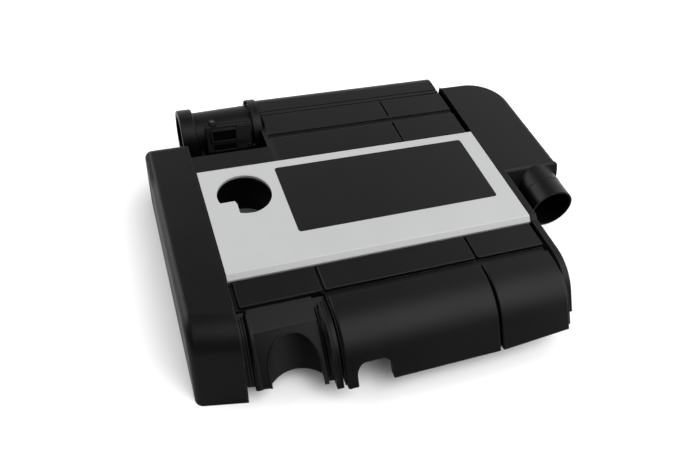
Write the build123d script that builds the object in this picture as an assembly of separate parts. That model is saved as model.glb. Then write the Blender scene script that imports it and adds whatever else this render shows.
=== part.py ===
from build123d import *
import os
from math import cos, radians, sin, tan

# Engine cover with built-in air cleaner, millimetres, +Z up, standing on z = 0

# Walls, grooves and clearances
WALL = 2.5
GROOVE = 3.0
FRONT_GROOVE = 5.0
GROOVE_DRAFT = 0.5
SEAM = 1.5
FIT = 0.3
EDGE = 1.2
BLOCK_EDGE = 2.0
TOUCH = 0.01

# Plan of the top, along X
RAIL_WIDTH = 57.5
PANEL_LENGTH = 400.0
WING_WIDTH = 95.0
LEFT_DIVIDER = 104.0
RIGHT_DIVIDER = 302.0
BAND_WIDTH = 8.5

# Plan of the top, along Y
FRONT_REACH = 146.0
PANEL_DEPTH = 177.0
SHELF_DEPTH = 35.0
REAR_DEPTH = 153.0
RAIL_FRONT = 86.0
RAIL_REAR = 65.0
BLOCK_DEPTH = 38.5
BLOCK_GAP = 10.0

# Heights above the surface that the cover stands on
PANEL_HEIGHT = 92.0
FRONT_STEP = 6.0
SPLIT_HEIGHT = 28.0
BAND_FOOT = 39.0

# Front bulge
BULGE_RADIUS = 73.0
BULGE_SLOPE = 54.0
BAND_SETBACK = 12.0
ARCH_CENTRE = 139.5
ARCH_WIDTH = 43.0
ARCH_HEIGHT = 22.0
ARCH_CORNER = 12.0
RISE_RIGHT = 5.0

# Left rail
RAIL_SLOPE = 72.0
RAIL_BEND = 45.0
RAIL_SKEW = 11.0
RAIL_EDGE = 10.0
RAIL_CORNER = 13.0
RAIL_RIB = 28.0

# Front left pocket with its raised pad and scoop
POCKET_DROP = 1.5
POCKET_SHELF = 26.0
POCKET_SHELF_DROP = 10.0
POCKET_FOLD = 5.0
POCKET_SLOPE_LEFT = 47.0
POCKET_SLOPE_RIGHT = 36.0
POCKET_FOOT = 24.0
PAD_LEFT = 7.5
PAD_RIGHT = 88.0
PAD_HEIGHT = 3.0
PAD_BEVEL = 4.0
SCOOP_CENTRE = 54.0
SCOOP_WIDTH = 60.0
SCOOP_TOP = 64.0
SCOOP_CORNER = 27.0
SCOOP_RADIUS = 50.0
SCOOP_BEHIND = 64.0
SCOOP_TILT = 47.0
FIN_WIDTH = 8.0
FIN_SETBACK = 7.0
RIB = 2.0

# Trim panel and its inlay
PANEL_THICKNESS = 2.5
PANEL_LIP = 6.0
LIP_ANGLE = 45.0
HOLE_X = 51.0
HOLE_Y = 125.0
HOLE_RADIUS = 32.5
HOLE_ROLL = 5.0
HOLE_COLLAR = 6.0
SLEEVE_FOOT = 8.0
TAB_EDGE = 7.5
TAB_END = 15.5
TAB_CORNER = 2.0
BADGE_LEFT = 100.0
BADGE_FRONT = 44.0
BADGE_RIGHT = 25.0
BADGE_DEPTH = 119.5
BADGE_CORNER = 4.0
BADGE_THICKNESS = 1.5
BADGE_PROUD = 0.3
BADGE_GAP = 0.15
STAKE_RADIUS = 2.0
STAKE_LENGTH = 7.0
STAKE_INSET = 16.0

# Rear blocks
REAR_GAP = 8.0
REAR_ROUND = 24.0
REAR_BEVEL = 7.0
REAR_BEVEL_DROP = 5.0
REAR_DIVIDER = 293.0
VALLEY_BEHIND = 52.0
VALLEY_WIDTH = 9.0
VALLEY_DEPTH = 2.4
LINES_BEHIND = 104.0
LINES_APART = 8.0
LINE_WIDTH = 2.0
LINE_DEPTH = 2.0
SLOT_FLOOR = 22.0

# Wing and inlet tube
WING_FRONT = 70.0
WING_APRON = 18.0
WING_LEAN = 30.0
WING_REAR = 293.0
WING_CORNER = 55.0
WING_NOSE = 14.0
WING_EDGE = 9.0
INLET_X = 62.0
INLET_RADIUS = 31.5
INLET_HEIGHT = 60.0
INLET_MOUTH = 30.0
INLET_SPIGOT = 30.0
INLET_STOP = 0.4

# Sensor duct
DUCT_RADIUS = 33.0
DUCT_NECK = 32.0
DUCT_SWELL = 34.0
DUCT_BEHIND = 109.0
DUCT_HEIGHT = 65.0
DUCT_MOUTH = -5.0
COLLAR_WIDTH = 20.0
COLLAR_HEIGHT = 5.0
SOCKET_RADIUS = 41.0
SOCKET_LENGTH = 6.5
FLANGE = 3.0
SEAL_WIDTH = 3.2
SEAL_DEPTH = 1.4
CRADLE = 18.0
GUTTER_GAP = 15.0
GRID_THICKNESS = 4.0
GRID_PITCH = 10.0
GRID_BAR = 1.2

# Plug-in sensor
SENSOR_X = 59.0
SENSOR_TILT = 25.0
SENSOR_LENGTH = 62.0
SENSOR_TALL = 36.0
SENSOR_STAND = 2.0
SENSOR_PLATE = 3.0
SENSOR_LUG = 7.0
SHROUD_LEFT = 7.0
SHROUD_RAISE = 5.0
SHROUD_LENGTH = 36.0
SHROUD_TALL = 17.0
SHROUD_REACH = 4.0
SHROUD_WALL = 1.8
SLOT_DROP = 12.0
SLOT_TALL = 8.0
LATCH_WIDTH = 17.0
LATCH_TALL = 22.0
LATCH_REACH = 3.0
PROBE = 11.0

# Air cleaner
CHAMBER_FRONT = 20.0
FILTER_REAR = 240.0
WINDOW_SILL = 50.0
WINDOW_COUNT = 5
HOLD_RIB_COUNT = 3
FRONT_RIB_COUNT = 5
RAIL_RIB_COUNT = 5
RIB_TALL = 12.5
TRAY_PLATE = 3.0
TUB_INSET = 6.0
TUB_CORNER = 12.0
TUB_COLUMN_COUNT = 5
TUB_ROW_COUNT = 4
TUB_FIELD = 1.0
CHANNEL_FRONT = 104.0
CHANNEL_RIGHT = 20.0
FILTER_RIM = 8.0
RIM_WIDTH = 14.0
PLEAT_COUNT = 26
PLEAT_TALL = 40.0
PLEAT_SHEET = 4.8
PLEAT_BELOW = 18.0

# Screws and rubber sockets
BOSS_RADIUS = 5.0
LONG_SIDE_BOSS_COUNT = 3
SHORT_SIDE_BOSS_COUNT = 2
SCREW_RADIUS = 2.1
SCREW_HEAD = 4.5
SCREW_HEAD_TALL = 3.0
SCREW_LENGTH = 14.0
SMALL_SCREW = 1.4
SMALL_HEAD = 2.8
SMALL_HEAD_TALL = 2.0
DUCT_SCREW_HEAD = 3.4
POST_RADIUS = 13.5
POST_HEIGHT = 45.0
POST_INSET = 35.0
GROMMET_RADIUS = 11.0
GROMMET_TALL = 13.0
GROMMET_FLANGE = 3.0
STUD_RADIUS = 4.6
STUD_NECK = 5.0
STUD_DEPTH = 11.0

# Places worked out from the sizes above
LOW = -20.0
FAR = 1000.0
RAIL_LEFT = -(RAIL_WIDTH + SEAM + PANEL_LENGTH + WING_WIDTH) / 2
RAIL_RIGHT = RAIL_LEFT + RAIL_WIDTH
PANEL_LEFT = RAIL_RIGHT + SEAM
PANEL_RIGHT = PANEL_LEFT + PANEL_LENGTH
CENTRE_RIGHT = PANEL_RIGHT + SEAM
WING_RIGHT = PANEL_RIGHT + WING_WIDTH
PANEL_FRONT = FRONT_REACH - (FRONT_REACH + PANEL_DEPTH + REAR_DEPTH) / 2
PANEL_REAR = PANEL_FRONT + PANEL_DEPTH
REAR = PANEL_REAR + REAR_DEPTH
SHELF_REAR = PANEL_REAR + SHELF_DEPTH
FRONT_EDGE = PANEL_FRONT - FRONT_REACH
SEAT = PANEL_HEIGHT - PANEL_THICKNESS
FRONT_TOP = PANEL_HEIGHT - FRONT_STEP
FRONT_BASE = FRONT_TOP - FRONT_GROOVE
LIP_BEND = PANEL_FRONT + PANEL_THICKNESS * tan(radians(LIP_ANGLE / 2))
DECK_WALL = WALL + GROOVE
MAIN_LEFT = PANEL_LEFT + LEFT_DIVIDER
REAR_RIGHT = PANEL_RIGHT - REAR_GAP
BLOCK_BACK = PANEL_FRONT - PANEL_LIP - SEAM
BLOCK_FRONT = BLOCK_BACK - BLOCK_DEPTH
BULGE_BACK = BLOCK_FRONT - BLOCK_GAP
DUCT_Y = PANEL_REAR + DUCT_BEHIND
DUCT_BORE = DUCT_RADIUS - WALL
SOCKET_LEFT = MAIN_LEFT - SOCKET_LENGTH
CHAMBER = PANEL_FRONT + CHAMBER_FRONT
CROSS_WALL = PANEL_FRONT + FILTER_REAR
TUB_TOP = SPLIT_HEIGHT - TRAY_PLATE
INLET_PLACE = PANEL_RIGHT + INLET_X
BADGE_LENGTH = PANEL_LENGTH - BADGE_LEFT - BADGE_RIGHT
HOLE = (PANEL_LEFT + HOLE_X, PANEL_FRONT + HOLE_Y)


def across(place):
    """X of a place measured from the panel's left edge."""
    return PANEL_LEFT + place


def along(place):
    """Y of a place measured from the panel's front edge."""
    return PANEL_FRONT + place


def block(x0, x1, y0, y1, z0, z1):
    """Upright block between two corners."""
    return Pos((x0 + x1) / 2, (y0 + y1) / 2, (z0 + z1) / 2) * Box(x1 - x0, y1 - y0, z1 - z0)


def post(x, y, z0, z1, radius):
    """Upright cylinder."""
    return Pos(x, y, (z0 + z1) / 2) * Cylinder(radius, z1 - z0)


def pipe_x(x0, x1, y, z, radius):
    """Cylinder along X."""
    return Pos((x0 + x1) / 2, y, z) * Rot(0, 90, 0) * Cylinder(radius, x1 - x0)


def pipe_y(x, y0, y1, z, radius):
    """Cylinder along Y."""
    return Pos(x, (y0 + y1) / 2, z) * Rot(90, 0, 0) * Cylinder(radius, y1 - y0)


def rounded(*corners):
    """Closed face through (u, v, corner radius) points."""
    points = [Vector(u, v) for u, v, _ in corners]
    arcs = []
    for i, (_, _, radius) in enumerate(corners):
        into = (points[i - 1] - points[i]).normalized()
        out = (points[(i + 1) % len(points)] - points[i]).normalized()
        half = radians(into.get_angle(out)) / 2
        cut = radius / tan(half)
        middle = points[i] + (into + out).normalized() * (radius / sin(half) - radius)
        arcs.append((points[i] + into * cut, middle, points[i] + out * cut))
    edges = []
    for i, (start, middle, end) in enumerate(arcs):
        if corners[i][2]:
            edges.append(ThreePointArc(start, middle, end))
        edges.append(Line(end, arcs[(i + 1) % len(arcs)][0]))
    return make_face(Curve() + edges)


def set_in(face, depth):
    """The same face with its outline moved in."""
    return offset(face, amount=-depth, kind=Kind.INTERSECTION) if depth else face


def prism_x(face, x0, x1):
    """Section in Y and Z, drawn out along X."""
    return extrude(Plane.YZ.offset(x0) * face, amount=x1 - x0, dir=(1, 0, 0))


def prism_y(face, y0, y1):
    """Section in X and Z, drawn out along Y."""
    return extrude(Plane.XZ.offset(-y0) * face, amount=y1 - y0, dir=(0, 1, 0))


def prism_z(face, z0, z1):
    """Outline in X and Y, drawn out along Z."""
    return extrude(Pos(0, 0, z0) * face, amount=z1 - z0, dir=(0, 0, 1))


def loft_x(face0, x0, face1, x1):
    """Solid between two sections in Y and Z."""
    return loft([Plane.YZ.offset(x0) * face0, Plane.YZ.offset(x1) * face1], ruled=True)


def spread(start, end, count):
    """Evenly spaced places, half a step in from each end."""
    return [start + (end - start) * (i + 0.5) / count for i in range(count)]


def soft_block(x0, x1, y0, y1, z0, z1, corner, edge):
    """Block with rounded upright corners and a rounded top edge."""
    solid = block(x0, x1, y0, y1, z0, z1)
    solid = fillet(solid.edges().filter_by(Axis.Z), corner)
    return fillet(solid.faces().sort_by(Axis.Z)[-1].edges(), edge)


def slope_y(z, depth):
    """Y of the bulge's front slope at a height, set in by a depth."""
    slope = radians(BULGE_SLOPE)
    return FRONT_EDGE + depth / sin(slope) + (z - SPLIT_HEIGHT) / tan(slope)


def bulge_round():
    """Radius of the bulge's round, limited by the flat top behind it."""
    flat = BULGE_BACK - slope_y(FRONT_TOP, 0) - 4 * EDGE
    return min(BULGE_RADIUS, flat * tan(radians(90 - BULGE_SLOPE / 2)))


def bulge_face(back, depth):
    """Section of the bulge: flat top, large round, straight slope."""
    top = FRONT_TOP - depth
    return rounded(
        (back, LOW, 0),
        (back, top, 0),
        (slope_y(top, depth), top, bulge_round() - depth),
        (slope_y(LOW, depth), LOW, 0),
    )


def centre_face():
    """Section of the cover under the panel and the bulges, at the floor of the grooves."""
    back = PANEL_REAR + SEAM
    return rounded(
        (back, LOW, 0),
        (back, SEAT, 0),
        (LIP_BEND, SEAT, 0),
        (LIP_BEND - SEAT + FRONT_BASE, FRONT_BASE, 0),
        (slope_y(FRONT_BASE, FRONT_GROOVE), FRONT_BASE, bulge_round() - FRONT_GROOVE),
        (slope_y(LOW, FRONT_GROOVE), LOW, 0),
    )


def seat_face():
    """Section of the cover left of the bulges: shelf, panel seat and block."""
    brow = BLOCK_FRONT - POCKET_DROP / 2
    return rounded(
        (SHELF_REAR, LOW, 0),
        (SHELF_REAR, SEAT, EDGE),
        (LIP_BEND, SEAT, 0),
        (LIP_BEND - SEAT + FRONT_BASE, FRONT_BASE, 0),
        (BLOCK_FRONT, FRONT_BASE, 0),
        (brow, FRONT_BASE - POCKET_DROP, 0),
        (brow, LOW, 0),
    )


def wall_face(slope):
    """Section of the pocket's front wall, from under the block down a slope."""
    brow = BLOCK_FRONT - POCKET_DROP / 2
    top = FRONT_BASE - POCKET_DROP
    fold = BLOCK_FRONT - POCKET_SHELF
    fold_z = top - POCKET_SHELF_DROP
    return rounded(
        (PANEL_FRONT, LOW, 0),
        (PANEL_FRONT, top, 0),
        (brow, top, 0),
        (fold, fold_z, POCKET_FOLD),
        (fold - (fold_z - LOW) / tan(radians(slope)), LOW, 0),
    )


def rail_face(turn):
    """Section of the left rail along its length, its nose moved back by a turn."""
    rear = PANEL_REAR + RAIL_REAR
    front = PANEL_FRONT - RAIL_FRONT + turn
    return rounded(
        (rear, LOW, 0),
        (rear, PANEL_HEIGHT, RAIL_CORNER),
        (front, PANEL_HEIGHT, RAIL_BEND),
        (front - (PANEL_HEIGHT - LOW) / tan(radians(RAIL_SLOPE)), LOW, 0),
    )


def band_face():
    """Section of the narrow band that borders the panel and bulges on the right."""
    top = FRONT_TOP + EDGE
    back = along(WING_FRONT + WING_APRON) + WING_EDGE
    return rounded(
        (back, LOW, 0),
        (back, PANEL_HEIGHT, 0),
        (PANEL_FRONT, PANEL_HEIGHT, EDGE),
        (PANEL_FRONT - PANEL_LIP, top, EDGE),
        (slope_y(top, BAND_SETBACK), top, bulge_round() - BAND_SETBACK),
        (slope_y(LOW, BAND_SETBACK), LOW, 0),
    )


def wing_outline():
    """Plan of the right wing."""
    return rounded(
        (CENTRE_RIGHT, along(WING_FRONT), 0),
        (CENTRE_RIGHT, along(WING_REAR), 0),
        (WING_RIGHT, along(WING_REAR), WING_CORNER),
        (WING_RIGHT, along(WING_FRONT), WING_NOSE),
    )


def rear_face(front, side, top, round_off):
    """Section of the rear blocks."""
    return rounded(
        (front, LOW, 0),
        (front, PANEL_HEIGHT - top, 0),
        (REAR - side, PANEL_HEIGHT - top, round_off),
        (REAR - side, LOW, 0),
    )


def end_edges(solid, x):
    """Edges of the end face at X that aren't along its bottom."""
    return [e for e in solid.edges()
            if abs(e.bounding_box().min.X - x) < TOUCH and abs(e.bounding_box().max.X - x) < TOUCH
            and e.center().Z > LOW + EDGE]


def rail(depth):
    """Left rail with its nose turned back on the outside, set in by a depth."""
    x0 = RAIL_LEFT + depth
    x1 = RAIL_RIGHT - depth
    turn = tan(radians(RAIL_SKEW))
    outside = set_in(rail_face((RAIL_RIGHT - x0) * turn), depth)
    inside = set_in(rail_face((RAIL_RIGHT - x1) * turn), depth)
    solid = loft_x(outside, x0, inside, x1)
    return fillet(end_edges(solid, x0), RAIL_EDGE - depth)


def wing_apron(depth):
    """What lies in front of the wing's leaning front, set in by a depth."""
    up = Vector(WING_APRON, WING_LEAN).normalized() * (2 * WING_LEAN)
    out = Vector(-up.Y, up.X)
    foot = Vector(along(WING_FRONT), PANEL_HEIGHT - WING_LEAN) - out.normalized() * depth
    face = make_face(Polyline(foot - up, foot + up, foot + up + out, foot - up + out, close=True))
    return prism_x(face, CENTRE_RIGHT - WALL, WING_RIGHT + WALL)


def wing(depth):
    """Right wing, set in by a depth on its free sides."""
    top = PANEL_HEIGHT - depth
    solid = prism_z(set_in(wing_outline(), depth), LOW, top) - wing_apron(depth)
    left = solid.bounding_box().min.X
    rim = [e for e in solid.faces().sort_by(Axis.Z)[-1].edges() if e.center().X > left + EDGE]
    solid = fillet(rim, WING_EDGE - depth)
    y0 = along(WING_FRONT + WING_APRON) + depth
    y1 = along(WING_REAR) - depth
    return solid + block(CENTRE_RIGHT, left + EDGE, y0, y1, LOW, SEAT - depth)


def scoop(depth):
    """Arched doorway with a round leaning back in the pocket's front wall, grown by a depth."""
    x = across(SCOOP_CENTRE)
    half = SCOOP_WIDTH / 2 + depth
    top = SCOOP_TOP + depth
    corner = SCOOP_CORNER + depth
    door = rounded((x - half, LOW, 0), (x - half, top, corner), (x + half, top, corner), (x + half, LOW, 0))
    lean = radians(SCOOP_TILT)
    y = along(-SCOOP_BEHIND) - SCOOP_RADIUS / sin(lean)
    axis = Plane(origin=(x, y, SCOOP_TOP), z_dir=(0, -cos(lean), -sin(lean)))
    return prism_y(door, FRONT_EDGE, BLOCK_FRONT) & axis * Cylinder(SCOOP_RADIUS + depth, 2 * FRONT_REACH)


def front_wall(x0, x1, depth):
    """Pocket's front wall between two places, set in by a depth; it flattens towards the bulges."""
    flatten = (POCKET_SLOPE_RIGHT - POCKET_SLOPE_LEFT) / (MAIN_LEFT - RAIL_RIGHT)
    left = wall_face(POCKET_SLOPE_LEFT + flatten * (x0 - RAIL_RIGHT))
    right = wall_face(POCKET_SLOPE_LEFT + flatten * (x1 - RAIL_RIGHT))
    return loft_x(set_in(left, depth), x0, set_in(right, depth), x1)


def pocket(depth):
    """Cover left of the bulges, set in by a depth, with the scoop taken out."""
    right = MAIN_LEFT + 2 * depth
    seat = prism_x(set_in(seat_face(), depth), RAIL_RIGHT, right)
    return seat + front_wall(RAIL_RIGHT, right, PAD_HEIGHT + depth) - scoop(depth)


def pocket_pad():
    """Raised pad round the scoop, bevelled along its left edge."""
    x0 = across(PAD_LEFT)
    pad = front_wall(x0, across(PAD_RIGHT), 0)
    left = [e for e in end_edges(pad, x0) if e.center().Y < BLOCK_FRONT - POCKET_DROP]
    return chamfer(left, PAD_BEVEL) - scoop(0)


def centre(depth):
    """Cover under the panel and bulges, set in by a depth."""
    return prism_x(set_in(centre_face(), depth), MAIN_LEFT + depth, CENTRE_RIGHT - depth)


def band(depth):
    """Narrow band on the right, set in by a depth."""
    left = CENTRE_RIGHT - 2 * depth
    return prism_x(set_in(band_face(), depth), left, CENTRE_RIGHT + BAND_WIDTH - depth)


def rear(depth):
    """Rear blocks, set in by a depth."""
    if depth == 0:
        solid = prism_x(rear_face(PANEL_REAR + SEAM, 0, 0, REAR_ROUND), MAIN_LEFT, REAR_RIGHT)
        bevel = rounded((MAIN_LEFT, PANEL_HEIGHT, 0), (MAIN_LEFT + REAR_BEVEL, PANEL_HEIGHT, 0),
                        (MAIN_LEFT, PANEL_HEIGHT - REAR_BEVEL_DROP, 0))
        return solid - prism_y(bevel, PANEL_REAR, REAR)
    face = rear_face(PANEL_REAR - DECK_WALL, depth, DECK_WALL, REAR_ROUND - depth)
    return prism_x(face, MAIN_LEFT + depth, REAR_RIGHT - depth)


def bulge(x0, x1):
    """One raised bulge with rounded ends."""
    solid = prism_x(bulge_face(BULGE_BACK, 0), x0, x1)
    back_edge = [e for e in solid.edges().filter_by(Axis.X)
                 if abs(e.center().Y - BULGE_BACK) < TOUCH and e.center().Z > LOW + EDGE]
    ends = [e for x in (x0, x1) for e in end_edges(solid, x) if e.center().Y < BULGE_BACK - EDGE]
    return fillet(back_edge + ends, BLOCK_EDGE)


def raised_front():
    """Front row of blocks, the bulges and the fin beside the pocket."""
    half = GROOVE / 2
    left = across(LEFT_DIVIDER)
    right = across(RIGHT_DIVIDER)
    spans = [(RAIL_RIGHT + 2 * GROOVE, left - half), (left + half, right - half),
             (right + half, PANEL_RIGHT - GROOVE)]
    low = FRONT_BASE - WALL
    blocks = [soft_block(x0, x1, BLOCK_FRONT, BLOCK_BACK, low, FRONT_TOP, BLOCK_EDGE, BLOCK_EDGE)
              for x0, x1 in spans]
    blocks += [bulge(x0, x1) for x0, x1 in spans[1:]]
    fin = prism_x(bulge_face(BULGE_BACK, FIN_SETBACK), left - half - FIN_WIDTH, left - half)
    ends = [e for e in end_edges(fin, left - half - FIN_WIDTH) if e.center().Y < BULGE_BACK - EDGE]
    return blocks + [fillet(ends, EDGE), pocket_pad()]


def groove_face(middle, width, depth):
    """Section of a groove in the top, wider at its mouth."""
    mouth = width / 2 + GROOVE_DRAFT
    floor = width / 2 - GROOVE_DRAFT
    high = PANEL_HEIGHT + GROOVE_DRAFT
    low = PANEL_HEIGHT - depth
    return rounded((middle - mouth, high, 0), (middle - floor, low, 0),
                   (middle + floor, low, 0), (middle + mouth, high, 0))


def rear_grooves():
    """Styling grooves of the rear blocks: a wide valley, two fine lines and the dividers."""
    valley = PANEL_REAR + VALLEY_BEHIND
    lines = PANEL_REAR + LINES_BEHIND
    faces = [groove_face(valley, VALLEY_WIDTH, VALLEY_DEPTH)]
    faces += [groove_face(lines + side * LINES_APART / 2, LINE_WIDTH, LINE_DEPTH) for side in (-1, 1)]
    cuts = [prism_x(face, MAIN_LEFT - WALL, REAR_RIGHT + WALL) for face in faces]
    clear = VALLEY_WIDTH / 2 + WALL
    divider = groove_face(across(REAR_DIVIDER), GROOVE, GROOVE)
    cuts.append(prism_y(divider, PANEL_REAR, valley - clear))
    cuts.append(prism_y(divider, valley + clear, lines - LINES_APART))
    return cuts


def boss_places():
    """Screw bosses round the air cleaner."""
    front = CHAMBER - BOSS_RADIUS - WALL
    left = MAIN_LEFT - BOSS_RADIUS - WALL
    back = REAR - BOSS_RADIUS - EDGE
    side = WING_RIGHT - WALL - 2 * BOSS_RADIUS
    places = [(x, y) for y in (front, back) for x in spread(MAIN_LEFT, REAR_RIGHT, LONG_SIDE_BOSS_COUNT)]
    places += [(left, y) for y in spread(CHAMBER, SHELF_REAR, SHORT_SIDE_BOSS_COUNT)]
    places += [(side, along(WING_FRONT + WING_APRON) + 2 * WING_NOSE), (side, along(WING_REAR) - WING_CORNER)]
    return places


def ceiling(x, y):
    """Height inside the thickness of the top above a place."""
    if y > REAR - REAR_ROUND:
        return PANEL_HEIGHT - REAR_ROUND
    if x > CENTRE_RIGHT:
        return PANEL_HEIGHT - EDGE
    return (SEAT if y > LIP_BEND else FRONT_BASE) - EDGE


def post_places():
    """Rubber sockets in the cover: front left, front right, rear left."""
    front = BLOCK_FRONT + BLOCK_DEPTH / 2
    return {
        "front_left": (PANEL_LEFT + POST_INSET, front),
        "front_right": (PANEL_RIGHT - POST_INSET, front),
        "rear_left": (PANEL_LEFT + POST_INSET, SHELF_REAR - WALL - POST_RADIUS),
    }


def tray_post():
    """Place of the rubber socket under the tray, rear right."""
    return ((CENTRE_RIGHT + WING_RIGHT) / 2, along(WING_REAR) - POST_RADIUS - WING_EDGE)


def inside_walls():
    """Chamber walls, ribs, bosses and socket posts under the cover's top."""
    top = SEAT - EDGE
    chamber = block(MAIN_LEFT, REAR_RIGHT, CHAMBER, REAR - REAR_ROUND, SPLIT_HEIGHT, top)
    chamber -= block(MAIN_LEFT + WALL, REAR_RIGHT - WALL, CHAMBER + WALL, REAR, SPLIT_HEIGHT, top)
    cross = block(MAIN_LEFT, REAR_RIGHT, CROSS_WALL, CROSS_WALL + WALL, SPLIT_HEIGHT, top)
    window = (REAR_RIGHT - MAIN_LEFT) / WINDOW_COUNT / 3
    for x in spread(MAIN_LEFT, REAR_RIGHT, WINDOW_COUNT):
        cross -= block(x - window, x + window, CROSS_WALL, CROSS_WALL + WALL, WINDOW_SILL, top - WALL)
    walls = [chamber, cross]
    hold = SPLIT_HEIGHT + FILTER_RIM
    for x in (MAIN_LEFT + WALL, REAR_RIGHT - WALL - RIB * 2):
        for y in spread(CHAMBER, CROSS_WALL, HOLD_RIB_COUNT):
            walls.append(block(x, x + RIB * 2, y, y + RIB, hold, top))
    for x in spread(MAIN_LEFT, REAR_RIGHT, FRONT_RIB_COUNT):
        walls.append(block(x, x + RIB, BULGE_BACK, CHAMBER + EDGE, FRONT_BASE - RIB_TALL, FRONT_BASE - EDGE))
    within = rail(EDGE)
    rib_foot = PANEL_HEIGHT - RAIL_RIB
    for y in spread(PANEL_FRONT - RAIL_FRONT, PANEL_REAR + RAIL_REAR, RAIL_RIB_COUNT):
        walls.append(block(RAIL_LEFT, RAIL_RIGHT, y, y + RIB, rib_foot, PANEL_HEIGHT) & within)
    walls += [post(x, y, SPLIT_HEIGHT, ceiling(x, y), BOSS_RADIUS) for x, y in boss_places()]
    walls += [post(x, y, POST_HEIGHT, ceiling(x, y), POST_RADIUS) for x, y in post_places().values()]
    well = HOLE_RADIUS + HOLE_ROLL + FIT + WALL
    walls.append(post(*HOLE, SLEEVE_FOOT, SEAT - EDGE, well))
    return walls


def inside_holes():
    """Holes in the walls, bosses and posts under the cover's top."""
    holes = [post(x, y, LOW, SPLIT_HEIGHT + SCREW_LENGTH, SCREW_RADIUS + FIT / 2) for x, y in boss_places()]
    holes += [post(x, y, LOW, POST_HEIGHT + GROMMET_TALL, GROMMET_RADIUS + FIT / 2)
              for x, y in post_places().values()]
    holes.append(post(*HOLE, LOW, PANEL_HEIGHT, HOLE_RADIUS + HOLE_ROLL + FIT))
    for x, y in stake_places():
        holes.append(post(x, y, SEAT - 2 * STAKE_LENGTH, SEAT + WALL, STAKE_RADIUS + FIT))
    return holes


def stake_places():
    """Pins under the trim panel."""
    xs = (STAKE_INSET, PANEL_LENGTH / 2, PANEL_LENGTH - STAKE_INSET)
    ys = (BADGE_FRONT / 2, (BADGE_FRONT + BADGE_DEPTH + PANEL_DEPTH) / 2)
    return [(across(x), along(y)) for x in xs for y in ys]


def cover_shell():
    """The black moulding."""
    outer = rail(0) + pocket(0) + centre(0) + band(0) + rear(0) + wing(0)
    outer += raised_front()
    outer += duct_body(SOCKET_LEFT, MAIN_LEFT + WALL, SOCKET_RADIUS)
    outer += inlet_tube(INLET_MOUTH, WING_FRONT, INLET_RADIUS)
    outer += inlet_tube(INLET_MOUTH + INLET_SPIGOT, WING_FRONT + WING_APRON, INLET_RADIUS + INLET_STOP)
    outer -= rear_grooves()
    inner = rail(WALL) + pocket(WALL) + centre(WALL) + band(WALL) + rear(WALL) + wing(WALL)
    shell = outer - inner
    floor = PANEL_HEIGHT - SLOT_FLOOR
    back = along(WING_REAR) - WALL
    shell += block(REAR_RIGHT - EDGE, CENTRE_RIGHT + EDGE, PANEL_REAR, back, floor - WALL, floor)
    shell += inside_walls()
    shell -= duct_opening()
    shell -= inlet_tube(INLET_MOUTH, WING_FRONT + 2 * WING_APRON, INLET_RADIUS - WALL)
    shell -= inside_holes()
    shell += cradle()
    shell += gutter()
    return trim_foot(shell)


def inlet_tube(start, end, radius):
    """Solid cylinder on the inlet's axis."""
    return pipe_y(INLET_PLACE, along(start), along(end), INLET_HEIGHT, radius)


def duct_opening():
    """Socket bore, the way through the end wall into the chamber, and the flange screws' holes."""
    bore = duct_body(SOCKET_LEFT, MAIN_LEFT, DUCT_RADIUS + FIT)
    way = duct_body(MAIN_LEFT, MAIN_LEFT + 2 * WALL, DUCT_BORE)
    ceiling_z = PANEL_HEIGHT - DECK_WALL
    way &= block(MAIN_LEFT, MAIN_LEFT + 2 * WALL, CROSS_WALL, REAR - WALL, SPLIT_HEIGHT, ceiling_z)
    holes = [pipe_x(SOCKET_LEFT, MAIN_LEFT, y, z, SCREW_RADIUS + FIT / 2) for y, z in duct_screw_places()]
    return [bore, way] + holes


def cradle():
    """Arm behind the shelf that carries the duct near its collar."""
    x = across(CRADLE)
    arm = block(x, x + 2 * RIB, SHELF_REAR - EDGE, DUCT_Y, SPLIT_HEIGHT, DUCT_HEIGHT)
    return arm - pipe_x(x - RIB, x + 3 * RIB, DUCT_Y, DUCT_HEIGHT, DUCT_NECK + 2 * FIT)


def gutter():
    """Floor between the shelf and the duct."""
    plate = block(across(CRADLE), MAIN_LEFT + EDGE, SHELF_REAR - EDGE, DUCT_Y - GUTTER_GAP,
                  SPLIT_HEIGHT, SPLIT_HEIGHT + WALL)
    return plate - duct_body(SOCKET_LEFT - FLANGE - FIT, SOCKET_LEFT, SOCKET_RADIUS + FIT)


def trim_foot(shell):
    """Cut the lower edges: rail on the floor, pocket, split, arch and rising right corner."""
    fin = MAIN_LEFT - GROOVE / 2
    shell -= block(-FAR, FAR, -FAR, FAR, 2 * LOW, 0)
    shell -= block(RAIL_RIGHT, fin, -FAR, BLOCK_FRONT, 2 * LOW, POCKET_FOOT)
    shell -= block(RAIL_RIGHT, fin, BLOCK_FRONT, FAR, 2 * LOW, SPLIT_HEIGHT)
    shell -= block(fin, FAR, -FAR, FAR, 2 * LOW, SPLIT_HEIGHT)
    shell -= block(CENTRE_RIGHT, FAR, -FAR, along(INLET_MOUTH) - FIT, 2 * LOW, BAND_FOOT)
    x = across(ARCH_CENTRE)
    half = ARCH_WIDTH / 2
    top = SPLIT_HEIGHT + ARCH_HEIGHT
    arch = rounded((x - half, LOW, 0), (x - half, top, ARCH_CORNER), (x + half, top, ARCH_CORNER),
                   (x + half, LOW, 0))
    shell -= prism_y(arch, FRONT_EDGE - WALL, BULGE_BACK)
    x0 = across(RIGHT_DIVIDER) + GROOVE
    wedge = rounded((x0, SPLIT_HEIGHT - WALL, 0), (x0, SPLIT_HEIGHT, 0),
                    (CENTRE_RIGHT, SPLIT_HEIGHT + RISE_RIGHT, 0), (CENTRE_RIGHT, SPLIT_HEIGHT - WALL, 0))
    return shell - prism_y(wedge, FRONT_EDGE - WALL, BULGE_BACK)


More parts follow.
